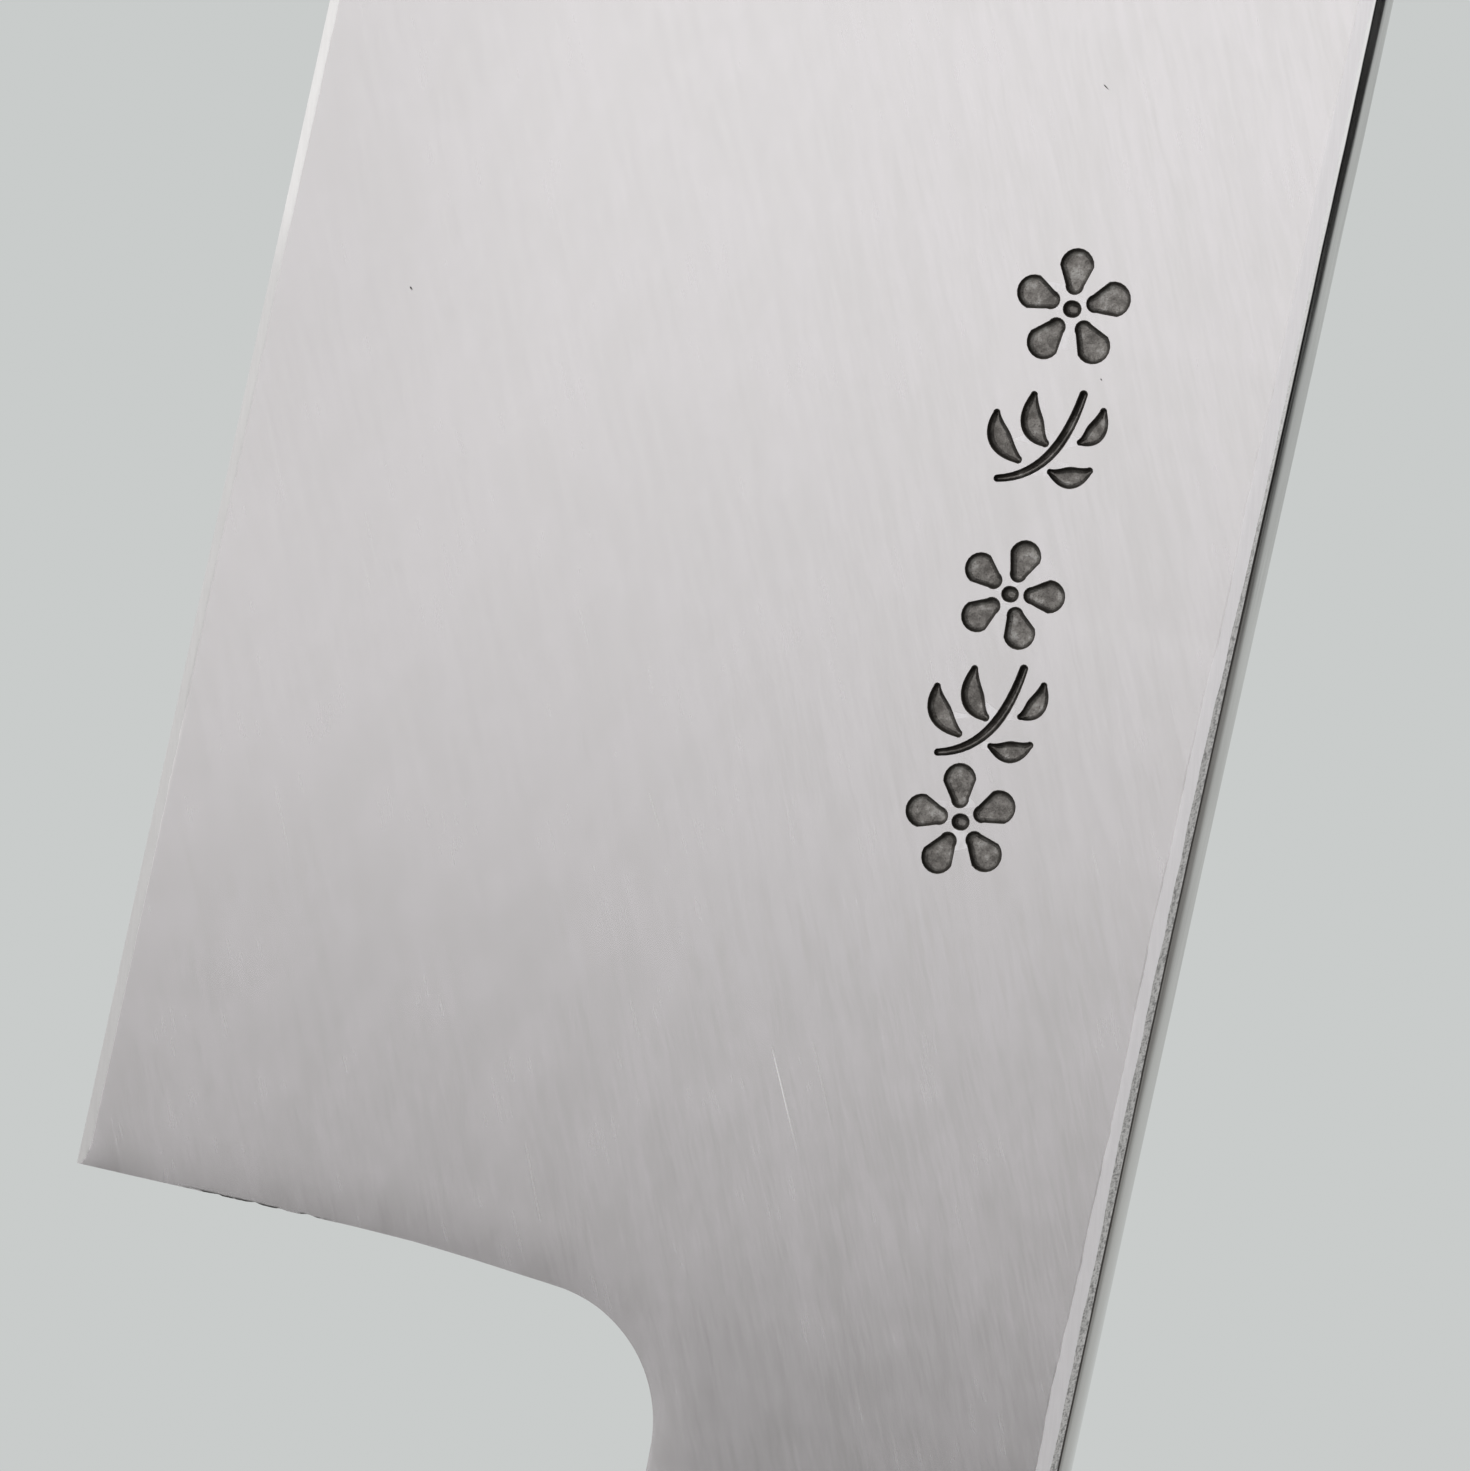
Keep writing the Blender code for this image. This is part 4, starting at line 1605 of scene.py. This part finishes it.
@dataclass(frozen=True)
class Stroke:
    """One curved stroke of a punch, in millimetres from the middle of its ornament.

    Attributes:
        start: Where it starts, toward the spine and toward the square end.
        bend: The point that it bends toward.
        end: Where it ends.
        tips: Half its width at its start and at its end.
        swell: How much wider its middle is.
    """

    start: tuple[float, float]
    bend: tuple[float, float]
    end: tuple[float, float]
    tips: tuple[float, float] = (0.2, 0.2)
    swell: float = 0.0

    def outline(self, grow: float) -> np.ndarray:
        """The stroke's outline.

        Args:
            grow: How much wider than the stroke the outline is.

        Returns:
            Points, in order round the stroke.
        """
        share = np.linspace(0.0, 1.0, 15)[:, None]
        start, bend, end = (np.array(spot) for spot in (self.start, self.bend, self.end))
        line = (1.0 - share) ** 2 * start + 2.0 * share * (1.0 - share) * bend + share**2 * end
        run = (1.0 - share) * (bend - start) + share * (end - bend)
        run = run / np.linalg.norm(run, axis=1, keepdims=True)
        side = np.stack([-run[:, 1], run[:, 0]], axis=1)
        half = self.tips[0] + (self.tips[1] - self.tips[0]) * share + self.swell * np.sin(math.pi * share)
        half = np.maximum(half + grow, 0.03)
        turns = np.linspace(0.0, math.pi, 11)[1:-1, None]
        ahead = line[-1] + half[-1] * (np.cos(turns) * side[-1] + np.sin(turns) * run[-1])
        behind = line[0] - half[0] * (np.cos(turns) * side[0] + np.sin(turns) * run[0])
        return np.concatenate([line + side * half, ahead, (line - side * half)[::-1], behind])


def blossom(turn: float, size: float = 1.0) -> tuple[Stroke, ...]:
    """A plum blossom of five round petals and its middle.

    Args:
        turn: Direction of its first petal, in degrees.
        size: Its size as a share of the usual one.

    Returns:
        The strokes of the blossom.
    """
    strokes = [Stroke((-0.05, 0.0), (0.0, 0.0), (0.05, 0.0), (0.3 * size, 0.3 * size))]
    for petal in range(5):
        angle = math.radians(turn + 72.0 * petal)
        way = (math.cos(angle), math.sin(angle))
        near, far = (tuple(size * reach * part for part in way) for reach in (0.98, 1.78))
        middle = tuple((a + b) / 2 for a, b in zip(near, far))
        strokes.append(Stroke(near, middle, far, (0.34 * size, 0.68 * size)))
    return tuple(strokes)


TWIG = (
    Stroke((-1.7, -2.1), (0.9, -1.5), (1.35, 2.3), (0.16, 0.13), 0.05),
    Stroke((-0.95, -1.1), (-2.3, -0.5), (-2.35, 0.75), (0.12, 0.1), 0.36),
    Stroke((0.1, -0.15), (-0.95, 0.35), (-0.85, 1.85), (0.12, 0.1), 0.36),
    Stroke((0.6, -1.35), (1.6, -1.7), (2.35, -0.95), (0.12, 0.1), 0.32),
    Stroke((1.65, 0.2), (2.45, 0.6), (2.4, 1.75), (0.12, 0.1), 0.3),
)


@dataclass(frozen=True)
class Ornament:
    """A column of punched plum blossoms and twigs along the spine: two, a space, and three more.

    Attributes:
        height: Height of the column over the cutting edge, in millimetres.
        places: Where the ornaments lie from the heel, in millimetres.
        profile: The punches' depth under the back and how much wider the strokes are there.
    """

    height: float = 36.4
    places: tuple[float, ...] = (46.6, 40.7, 33.7, 28.3, 23.4)
    profile: tuple[tuple[float, float], ...] = (
        (-0.6, 0.09),
        (0.0, 0.07),
        (0.018, 0.03),
        (0.06, 0.0),
        (0.2, -0.03),
        (0.3, -0.09),
        (0.36, -0.19),
    )

    def strokes(self) -> list[tuple[float, Stroke]]:
        """Every stroke with the place of its ornament."""
        column = (blossom(96.0, 1.08), TWIG, blossom(80.0), TWIG, blossom(104.0, 1.04))
        return [(place, stroke) for place, sprig in zip(self.places, column) for stroke in sprig]

    def cutter(self, shape: BladeShape, placing: Placing, dress: bpy.types.Material) -> bpy.types.Object:
        """Build the punches' shapes as one cutter.

        Args:
            shape: The blade's shape.
            placing: Where the blade lies.
            dress: The finish that the strokes' floors and walls get.

        Returns:
            The cutter, which is removed after use.
        """
        shell = Shell()
        for place, stroke in self.strokes():
            spot = np.array([[place + stroke.bend[1]], [self.height + stroke.bend[0]], [6.0]])
            surface = float(shape.back(*spot)[0])
            rings = []
            for sink, grow in self.profile:
                across, ahead = stroke.outline(grow).T
                rings.append(placing.points(place + ahead, self.height + across, surface + sink))
            shell.add_rings(rings, 0)
        return shell.to_object("punches", [dress])

    def punch(self, item: bpy.types.Object, cutter: bpy.types.Object) -> None:
        """Sink the strokes into a piece and remove the cutter.

        Args:
            item: The steel layer.
            cutter: The punches.
        """
        step = item.modifiers.new("punches", "BOOLEAN")
        step.operation = "DIFFERENCE"
        step.solver = "EXACT"
        step.use_self = True
        step.material_mode = "TRANSFER"
        step.object = cutter
        graph = bpy.context.evaluated_depsgraph_get()
        punched = bpy.data.meshes.new_from_object(item.evaluated_get(graph))
        item.modifiers.clear()
        item.data = punched
        punched.shade_smooth()
        punched.set_sharp_from_angle(angle=CREASE)
        work = bmesh.new()
        work.from_mesh(punched)
        for edge in work.edges:
            sides = {face.material_index for face in edge.link_faces}
            if len(sides) > 1 and int(SteelSide.PUNCHED) in sides:
                edge.smooth = False
        work.to_mesh(punched)
        work.free()
        bpy.data.objects.remove(cutter, do_unlink=True)


# The tang and the whole blade.


def way_round(steps: int = 160) -> np.ndarray:
    """Angles once round a section of the handle, from below and past the front."""
    return np.linspace(-math.pi / 2, 1.5 * math.pi, steps, endpoint=False)


@dataclass(frozen=True)
class Tang:
    """The forged tang's outline, in millimetres.

    Attributes:
        shoulder: Where it starts behind the heel.
        length: Its length from the shoulder.
        height: Its height at the shoulder and at its tip.
        thickness: Its thickness at the shoulder and at its tip.
        middle: Depth and height of its middle line.
        root: How far it reaches into the neck.
    """

    shoulder: float = -15.0
    length: float = 100.0
    height: tuple[float, float] = (11.6, 5.0)
    thickness: tuple[float, float] = (3.2, 1.8)
    middle: tuple[float, float] = (2.0, 38.0)
    root: float = 0.8

    def outline(
        self, along: float, margin: float, squareness: float = 0.16
    ) -> tuple[np.ndarray, np.ndarray]:
        """A rectangle with softened corners.

        Args:
            along: Where the tang is cut.
            margin: How much wider than the tang the outline is.
            squareness: 1 for an oval, near 0 for a sharp rectangle.

        Returns:
            Depth and height of the outline's points.
        """
        share = (self.shoulder - along) / self.length
        high = float(np.interp(share, [0, 1], self.height)) / 2 + margin
        thick = float(np.interp(share, [0, 1], self.thickness)) / 2 + margin
        cos, sin = np.cos(way_round()), np.sin(way_round())
        side = thick * np.sign(cos) * np.abs(cos) ** squareness
        rise = high * np.sign(sin) * np.abs(sin) ** squareness
        return self.middle[0] + side, self.middle[1] + rise


SCRATCHES = (
    Mark((30.2, 11.8), (32.4, 7.4), 0.035, 0.75),
    Mark((31.95, 12.45), (34.15, 7.85), 0.026),
    Mark((19.93, 5.59), (22.06, 0.7), 0.03),
    Mark((20.9, 27.2), (21.5, 25.8), 0.03),
    Mark((5.36, 18.22), (6.84, 14.97), 0.03),
    Mark((22.13, 21.78), (23.29, 19.74), 0.026),
    Mark((17.25, 29.1), (18.23, 27.02), 0.026),
    Mark((1.5, 2.2), (2.0, 1.2), 0.03),
    Mark((14.7, 10.9), (15.2, 9.8), 0.03),
)
SPECKS = (
    Mark((6.45, 41.55), (6.6, 41.4), 0.05, 1.0),
    Mark((35.65, 56.6), (35.95, 56.4), 0.035, 1.0),
    Mark((38.35, 43.85), (38.45, 43.75), 0.035, 1.0),
)


@dataclass
class Blade:
    """The laminated blade with its tang.

    Attributes:
        placing: Where the blade lies.
        shape: Its shape.
        ornament: The punched column on its back.
        tang: The tang behind it.
    """

    placing: Placing
    shape: BladeShape = field(default_factory=BladeShape)
    ornament: Ornament = field(default_factory=Ornament)
    tang: Tang = field(default_factory=Tang)

    def build(self) -> list[bpy.types.Object]:
        """Build and dress both layers.

        Returns:
            The steel layer and the iron body.
        """
        return [self.build_steel(), self.build_iron()]

    def build_steel(self) -> bpy.types.Object:
        """Build the layer of hard steel with the ornament in its back.

        Returns:
            The layer.
        """
        spine, wall = self.shared_finishes()
        bevel = BrushedMetal("steel_bevel", (0.66, 0.65, 0.645), 0.24, Spread.STONED, (0.06, 3.0), 0.35)
        dress = [
            GroundBack(self.placing, scratches=SCRATCHES, specks=SPECKS).make(),
            FiledCorner().make(),
            spine,
            bevel.make(),
            wall,
            PunchedFloor(self.placing).make(),
        ]
        forging = Forging(Columns(self.shape), self.placing)
        steel = forging.steel().to_object("steel_layer", dress)
        cutter = self.ornament.cutter(self.shape, self.placing, dress[SteelSide.PUNCHED])
        self.ornament.punch(steel, cutter)
        forging.settle_normals(steel.data)
        return mount(steel, Layer.STEEL.value)

    def build_iron(self) -> bpy.types.Object:
        """Build the body of soft iron with its tang.

        Returns:
            The body.
        """
        spine, wall = self.shared_finishes()
        flat = BrushedMetal(
            "front_flat", (0.56, 0.55, 0.545), 0.34, Spread.ACROSS, (0.09, 5.0), 0.5, 0.05, 0.05, 9.0, 0.35
        )
        dress = [
            wall,
            spine,
            FiledCorner().make(),
            flat.make(),
            MistyBevel().make(),
            ForgedIron().make(),
        ]
        shell = Forging(Columns(self.shape), self.placing).iron()
        self.add_tang(shell)
        iron = shell.to_object("iron_body", dress)
        return mount(iron, Layer.IRON.value)

    def shared_finishes(self) -> tuple[bpy.types.Material, bpy.types.Material]:
        """The finishes that go on across the weld: the spine's and the end walls'.

        Returns:
            Both materials.
        """
        names = ("polished_spine", "ground_wall")
        if names[0] not in bpy.data.materials:
            PolishedSpine(self.placing, names[0]).make()
            BrushedMetal(names[1], (0.50, 0.49, 0.485), 0.36, Spread.FILED, (0.08, 1.2), 1.5).make()
        return bpy.data.materials[names[0]], bpy.data.materials[names[1]]

    def add_tang(self, shell: Shell) -> None:
        """Add the tang to the iron's shell, from inside the neck to its tip.

        Args:
            shell: The iron's shell.
        """
        start = self.tang.shoulder + self.tang.root
        rings = []
        for along in np.linspace(start, self.tang.shoulder - self.tang.length, 40):
            side, rise = self.tang.outline(along, 0.0)
            wobble = 0.05 * ripple(np.array([along]), 4.0, 41)[0]
            rings.append(self.placing.points(along, rise + wobble, side))
        count = shell.add_rings(rings, int(IronSide.TANG))
        shell.levels["hollow_level"].append(np.full(count, -1.0))
        shell.levels["rear_gap"].append(np.full(count, 6.0))


def mount(item: bpy.types.Object, node: str) -> bpy.types.Object:
    """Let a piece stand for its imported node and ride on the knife.

    Args:
        item: The piece.
        node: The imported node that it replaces.

    Returns:
        The piece.
    """
    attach(item, BODY)
    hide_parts(node)
    return item


# The handle.


@dataclass
class Handle:
    """The wooden grip with its tenon, the horn ferrule and the resin round the tang.

    All sizes are in millimetres, places are from the heel, and pairs are sizes at the front and at
    the butt.

    Attributes:
        placing: Where the knife lies.
        tang: The tang that the slot is cut for.
        front: Where the ferrule starts.
        seat: Where the ferrule ends and the grip starts.
        butt: Where the grip ends.
        round_side: Depth of the section's round side.
        ridge_side: Depth of its ridged side.
        ridge_drop: How far the ridge lies below the middle.
        ridge_sharpness: How straight the faces beside the ridge are.
        wall: Thickness of the ferrule's wall.
        seam_ease: Radius of the rims that meet between ferrule and grip.
        mouth: Margin of the slot's mouth round the tang.
        slot_room: Margin of the slot round the tang.
        seal_depth: Depth of the resin.
        shrinking: How deep the resin has sunk at shares of the mouth's margin.
    """

    placing: Placing
    tang: Tang = field(default_factory=Tang)
    front: float = -25.0
    seat: float = -53.0
    butt: float = -160.0
    height: tuple[float, float] = (24.0, 27.0)
    round_side: tuple[float, float] = (9.0, 10.2)
    ridge_side: tuple[float, float] = (9.6, 10.9)
    ridge_drop: float = 1.6
    ridge_sharpness: float = 0.26
    wall: float = 2.8
    butt_ease: float = 1.2
    ferrule_ease: float = 1.0
    seam_ease: float = 0.12
    mouth: float = 1.2
    slot_room: float = 0.3
    seal_depth: float = 4.0
    shrinking: tuple[tuple[float, float], ...] = (
        (0.98, 0.12),
        (0.85, 0.2),
        (0.6, 0.3),
        (0.35, 0.28),
        (0.15, 0.16),
        (0.05, 0.04),
    )

    def build(self) -> list[bpy.types.Object]:
        """Build and dress the handle.

        Returns:
            The ferrule, the grip and the seal.
        """
        return [self.build_ferrule(), self.build_grip(), self.build_seal()]

    def section(self, along: float, inset: float = 0.0) -> np.ndarray:
        """The chestnut section: half an oval on the back side and a ridge on the front side.

        Args:
            along: Where the handle is cut.
            inset: How far the outline is drawn in.

        Returns:
            The outline's points in metres.
        """
        share = (self.front - along) / (self.front - self.butt)
        pairs = (self.height, self.round_side, self.ridge_side)
        height, back, ridge = (float(np.interp(share, [0, 1], pair)) for pair in pairs)
        half = height / 2
        cos, sin = np.cos(way_round()), np.sin(way_round())
        reach = np.where(sin > 0, half + self.ridge_drop, half - self.ridge_drop)
        front_rise = reach * sin - self.ridge_drop
        front_side = ridge * (1.0 - self.ridge_sharpness * np.abs(sin)) * cos
        side = np.where(cos > 1e-9, front_side, back * cos) * (1.0 - inset / back)
        rise = np.where(cos > 1e-9, front_rise, half * sin) * (1.0 - inset / half)
        return self.ring(along, side, rise)

    def oval(self, along: float) -> np.ndarray:
        """The tenon's section, which the ferrule's bore shares."""
        high, wide = self.height[0] / 2 - self.wall, self.round_side[0] - self.wall
        return self.ring(along, wide * np.cos(way_round()), high * np.sin(way_round()))

    def ring(self, along: float, side: np.ndarray, rise: np.ndarray) -> np.ndarray:
        """Points of an outline that is measured from the tang's middle."""
        middle = self.tang.middle
        return self.placing.points(along, middle[1] + rise, middle[0] + side)

    def slot(self, along: float, margin: float) -> np.ndarray:
        """Points of the tang's outline widened by a margin."""
        side, rise = self.tang.outline(along, margin, 0.3)
        return self.placing.points(along, rise, side)

    def eased(self, end: float, radius: float, inward: float) -> list[np.ndarray]:
        """Rings over a rounded rim.

        Args:
            end: Where the end face lies.
            radius: Radius of the rim.
            inward: 1 if the handle goes on toward the blade, -1 if toward the butt.

        Returns:
            Rings from the side to the end face.
        """
        rings = []
        for angle in np.linspace(0.0, math.pi / 2, 9):
            back_off = radius * (1.0 - math.sin(angle))
            rings.append(self.section(end + inward * back_off, radius * (1.0 - math.cos(angle))))
        return rings

    def build_ferrule(self) -> bpy.types.Object:
        """Build the horn ferrule as a ring.

        Returns:
            The ferrule.
        """
        rings = self.eased(self.seat, self.seam_ease, 1.0)[::-1]
        rings += [self.section(along) for along in steps_between(self.seat + 1.0, self.front - 2.0, 2.0)]
        rings += self.eased(self.front, self.ferrule_ease, -1.0)
        rings += [self.oval(along) for along in steps_between(self.front, self.seat, 4.0)]
        shell = Shell()
        shell.add_rings(rings, 0, capped=False)
        return mount(shell.to_object("horn_ring", [BuffaloHorn().make()]), "horn_ferrule")

    def build_grip(self) -> bpy.types.Object:
        """Build the grip with its tenon and its slot.

        Returns:
            The grip.
        """
        floor = self.tang.shoulder - self.tang.length - 1.0
        step = self.front - self.seal_depth
        rings = [self.slot(along, self.slot_room) for along in steps_between(floor, step, 6.0)]
        rings += [self.slot(along, self.mouth) for along in (step, self.front - 0.05)]
        rings += [self.oval(along) for along in steps_between(self.front - 0.05, self.seat, 4.0)]
        rings += self.eased(self.seat, self.seam_ease, -1.0)[::-1]
        rings += [self.section(along) for along in steps_between(self.seat - 1.0, self.butt + 2.5, 2.0)]
        rings += self.eased(self.butt, self.butt_ease, 1.0)
        shell = Shell()
        shell.add_rings(rings, 0)
        return mount(shell.to_object("wood_grip", [Magnolia().make()]), "wood_handle")

    def build_seal(self) -> bpy.types.Object:
        """Build the resin in the slot's mouth, a little hollow where it has shrunk.

        Returns:
            The seal.
        """
        back = self.front - self.seal_depth
        rings = [self.slot(along, self.mouth - 0.01) for along in (back, self.front - 0.3)]
        for share, sink in self.shrinking:
            rings.append(self.slot(self.front - sink, self.mouth * share))
        rings += [self.slot(along, 0.01) for along in (self.front, back)]
        shell = Shell()
        shell.add_rings(rings, 0, capped=False)
        return mount(shell.to_object("resin_seal", [SlotResin().make()]), "tang_seal")


# The studio.


@dataclass(frozen=True)
class Studio:
    """The plain studio: camera, room, lamps and floor.

    The camera's places and its lens are in millimetres, the softbox's in metres and its power in watts.
    Every _foot of a card or wall is its colour below the camera's height.

    Attributes:
        target: The point that the camera looks at, in the frame.
        distance: From the camera to that point.
        side_angle: How far the camera stands toward the spine's side, in degrees.
        roll: How far the camera leans, in degrees.
        room: Brightness of the room on the camera's side, as reflections show it.
        card: Colour of the dark card behind the spine, as reflections show it.
        wall: Colour of the wall beside the card.
        side_card: Colour of the white card beside the spine.
        fill: Brightness of the soft light from all round.
        softbox_way: Direction from the blade to the softbox, across and in depth.
        softbox_distance: From the blade to the softbox.
        softbox_foot: Height of the softbox's lower edge.
        softbox_lean: How far the softbox leans toward the spine, in degrees.
        near_side: Depths of the world between which the room takes the backdrop's place.
        card_rise: Heights between which the card turns from its foot's colour to its own.
        wall_rise: The like for the wall.
        wall_end: Where the wall goes over into the backdrop, across.
        card_edge: Where the wall ends and the card starts, across.
        far_side: Depths between which wall and card set in.
        far_edge: Places across between which they set in.
        band_foot: Heights between which all cards set in.
        band_top: Heights between which they end.
        side_edge: Places across between which the white card sets in.
    """

    target: tuple[float, float, float] = (-0.1713, -2.35, 185.0131)
    distance: float = 600.0
    side_angle: float = 14.5
    roll: float = 12.2777
    lens: float = 330.86
    backdrop: Colour = (0.583, 0.603, 0.596)
    room: Colour = (0.207, 0.204, 0.202)
    card: Colour = (0.014, 0.013, 0.013)
    card_foot: Colour = (0.135, 0.127, 0.12)
    wall: Colour = (0.60, 0.616, 0.606)
    wall_foot: Colour = (0.44, 0.445, 0.435)
    side_card: Colour = (0.88, 0.88, 0.88)
    fill: float = 0.92
    softbox_size: tuple[float, float] = (1.2, 0.9)
    softbox_way: tuple[float, float] = (-0.25, -0.968)
    softbox_distance: float = 0.5
    softbox_foot: float = 0.17
    softbox_power: float = 3.72
    softbox_lean: float = 45.0
    near_side: tuple[float, float] = (-0.15, -0.6)
    card_rise: tuple[float, float] = (0.004, 0.03)
    wall_rise: tuple[float, float] = (-0.05, 0.045)
    wall_end: tuple[float, float] = (0.13, -0.03)
    card_edge: tuple[float, float] = (0.171, 0.201)
    far_side: tuple[float, float] = (0.16, 0.28)
    far_edge: tuple[float, float] = (0.0, 0.02)
    band_foot: tuple[float, float] = (-0.22, -0.09)
    band_top: tuple[float, float] = (0.45, 0.20)
    side_edge: tuple[float, float] = (0.88, 0.95)

    def build(self) -> None:
        """Set up the whole studio."""
        self.place_camera()
        self.light_room()
        self.add_softbox()
        self.lay_floor()
        bpy.context.scene.view_settings.view_transform = "Standard"

    def place_camera(self) -> None:
        """Put the camera where the photo was taken from."""
        side, roll = math.radians(self.side_angle), math.radians(self.roll)
        away = Vector((math.sin(side), -math.cos(side), 0.0))
        level = Vector((math.cos(side), math.sin(side), 0.0))
        rise = Vector((0.0, 0.0, 1.0))
        right = level * math.cos(roll) + rise * math.sin(roll)
        top = rise * math.cos(roll) - level * math.sin(roll)
        lens = bpy.data.cameras.new("camera")
        lens.lens = self.lens
        lens.sensor_width = 36.0
        lens.clip_start = 0.01
        lens.clip_end = 100.0
        camera = bpy.data.objects.new("camera", lens)
        turn = Matrix((right, top, away)).transposed()
        spot = Vector(self.target) * MM + away * self.distance * MM
        camera.matrix_world = Matrix.Translation(spot) @ turn.to_4x4()
        bpy.context.scene.collection.objects.link(camera)
        bpy.context.scene.camera = camera

    def light_room(self) -> None:
        """Make the world: the backdrop's colour, a dimmer room before the knife, soft fill light."""
        work = NodeWork("room", room=True)
        bpy.context.scene.world = work.owner
        side, depth, rise = (work.axis(way) for way in Way)
        shown = work.mix(work.ramp(depth, *self.near_side), self.backdrop, self.room)
        card = work.mix(work.ramp(rise, *self.card_rise), self.card_foot, self.card)
        wall = work.mix(work.ramp(rise, *self.wall_rise), self.wall_foot, self.wall)
        wall = work.mix(work.ramp(side, *self.wall_end), wall, self.backdrop)
        right = work.mix(work.ramp(side, *self.card_edge), wall, card)
        behind = work.times(work.ramp(depth, *self.far_side), work.ramp(side, *self.far_edge))
        band = work.times(work.ramp(rise, *self.band_foot), work.ramp(rise, *self.band_top))
        shown = work.mix(work.times(behind, band), shown, right)
        beside = work.times(work.ramp(side, *self.side_edge), band)
        shown = work.mix(beside, shown, self.side_card)
        ray = work.tree.nodes.new("ShaderNodeLightPath").outputs
        mirrored = work.math("MAXIMUM", ray["Is Glossy Ray"], ray["Is Transmission Ray"])
        colour = work.mix(mirrored, (self.fill, self.fill, self.fill), shown)
        work.join(work.mix(ray["Is Camera Ray"], colour, self.backdrop), "Color")

    def add_softbox(self) -> None:
        """Hang the softbox before the upper part of the blade."""
        lamp = bpy.data.lights.new("softbox", "AREA")
        lamp.shape = "RECTANGLE"
        lamp.size, lamp.size_y = self.softbox_size
        lamp.energy = self.softbox_power
        box = bpy.data.objects.new("softbox", lamp)
        away = Vector((*self.softbox_way, 0.0)).normalized()
        rise = Vector((0.0, 0.0, 1.0))
        foot = away * self.softbox_distance + rise * self.softbox_foot
        lean = Matrix.Rotation(math.radians(self.softbox_lean), 3, away)
        spot = foot + lean @ rise * self.softbox_size[1] / 2
        turn = lean @ Matrix((rise.cross(away), rise, away)).transposed()
        box.matrix_world = Matrix.Translation(spot) @ turn.to_4x4()
        box.visible_camera = False
        bpy.context.scene.collection.objects.link(box)

    def lay_floor(self) -> None:
        """Lay a round floor whose rim fades into the backdrop."""
        shell = Shell()
        angles = np.linspace(0.0, 2.0 * math.pi, 96, endpoint=False)
        rings = [
            np.stack([radius * np.cos(angles), radius * np.sin(angles), np.zeros_like(angles)], axis=-1)
            for radius in (0.01, 0.1, 0.3, 0.6)
        ]
        first = shell.add_grid(np.array(rings), np.zeros(96, dtype=int), closed=True)
        shell.add_face(range(first, first + 96), 0)
        paint = NodeWork("floor_paint")
        side, depth = paint.axis(Way.HEIGHT), paint.axis(Way.DEPTH)
        square = paint.times_plus(side, side, paint.times(depth, depth))
        reach = paint.math("SQRT", square)
        grain = paint.noise(Spread.ALONG_KNIFE, (1.5, 1.5, 1.5))
        pale = tuple(part * 1.01 for part in self.backdrop)
        paint.join(paint.mix(grain, self.backdrop, pale), "Base Color")
        paint.set(Roughness=0.9, Specular_IOR_Level=0.1)
        paint.join(paint.ramp(reach, 0.56, 0.28), "Alpha")
        floor = shell.to_object("floor", [paint.owner])


def main() -> None:
    """Build the knife and the studio."""
    logging.basicConfig(level=logging.INFO, format="%(name)s: %(message)s")
    placing = Placing.from_blade(BladeShape().edge_length)
    for part in (Blade(placing), Handle(placing)):
        for item in part.build():
            log.info("%s: %d faces", item.name, len(item.data.polygons))
    Studio().build()


if __name__ == "__main__":
    main()
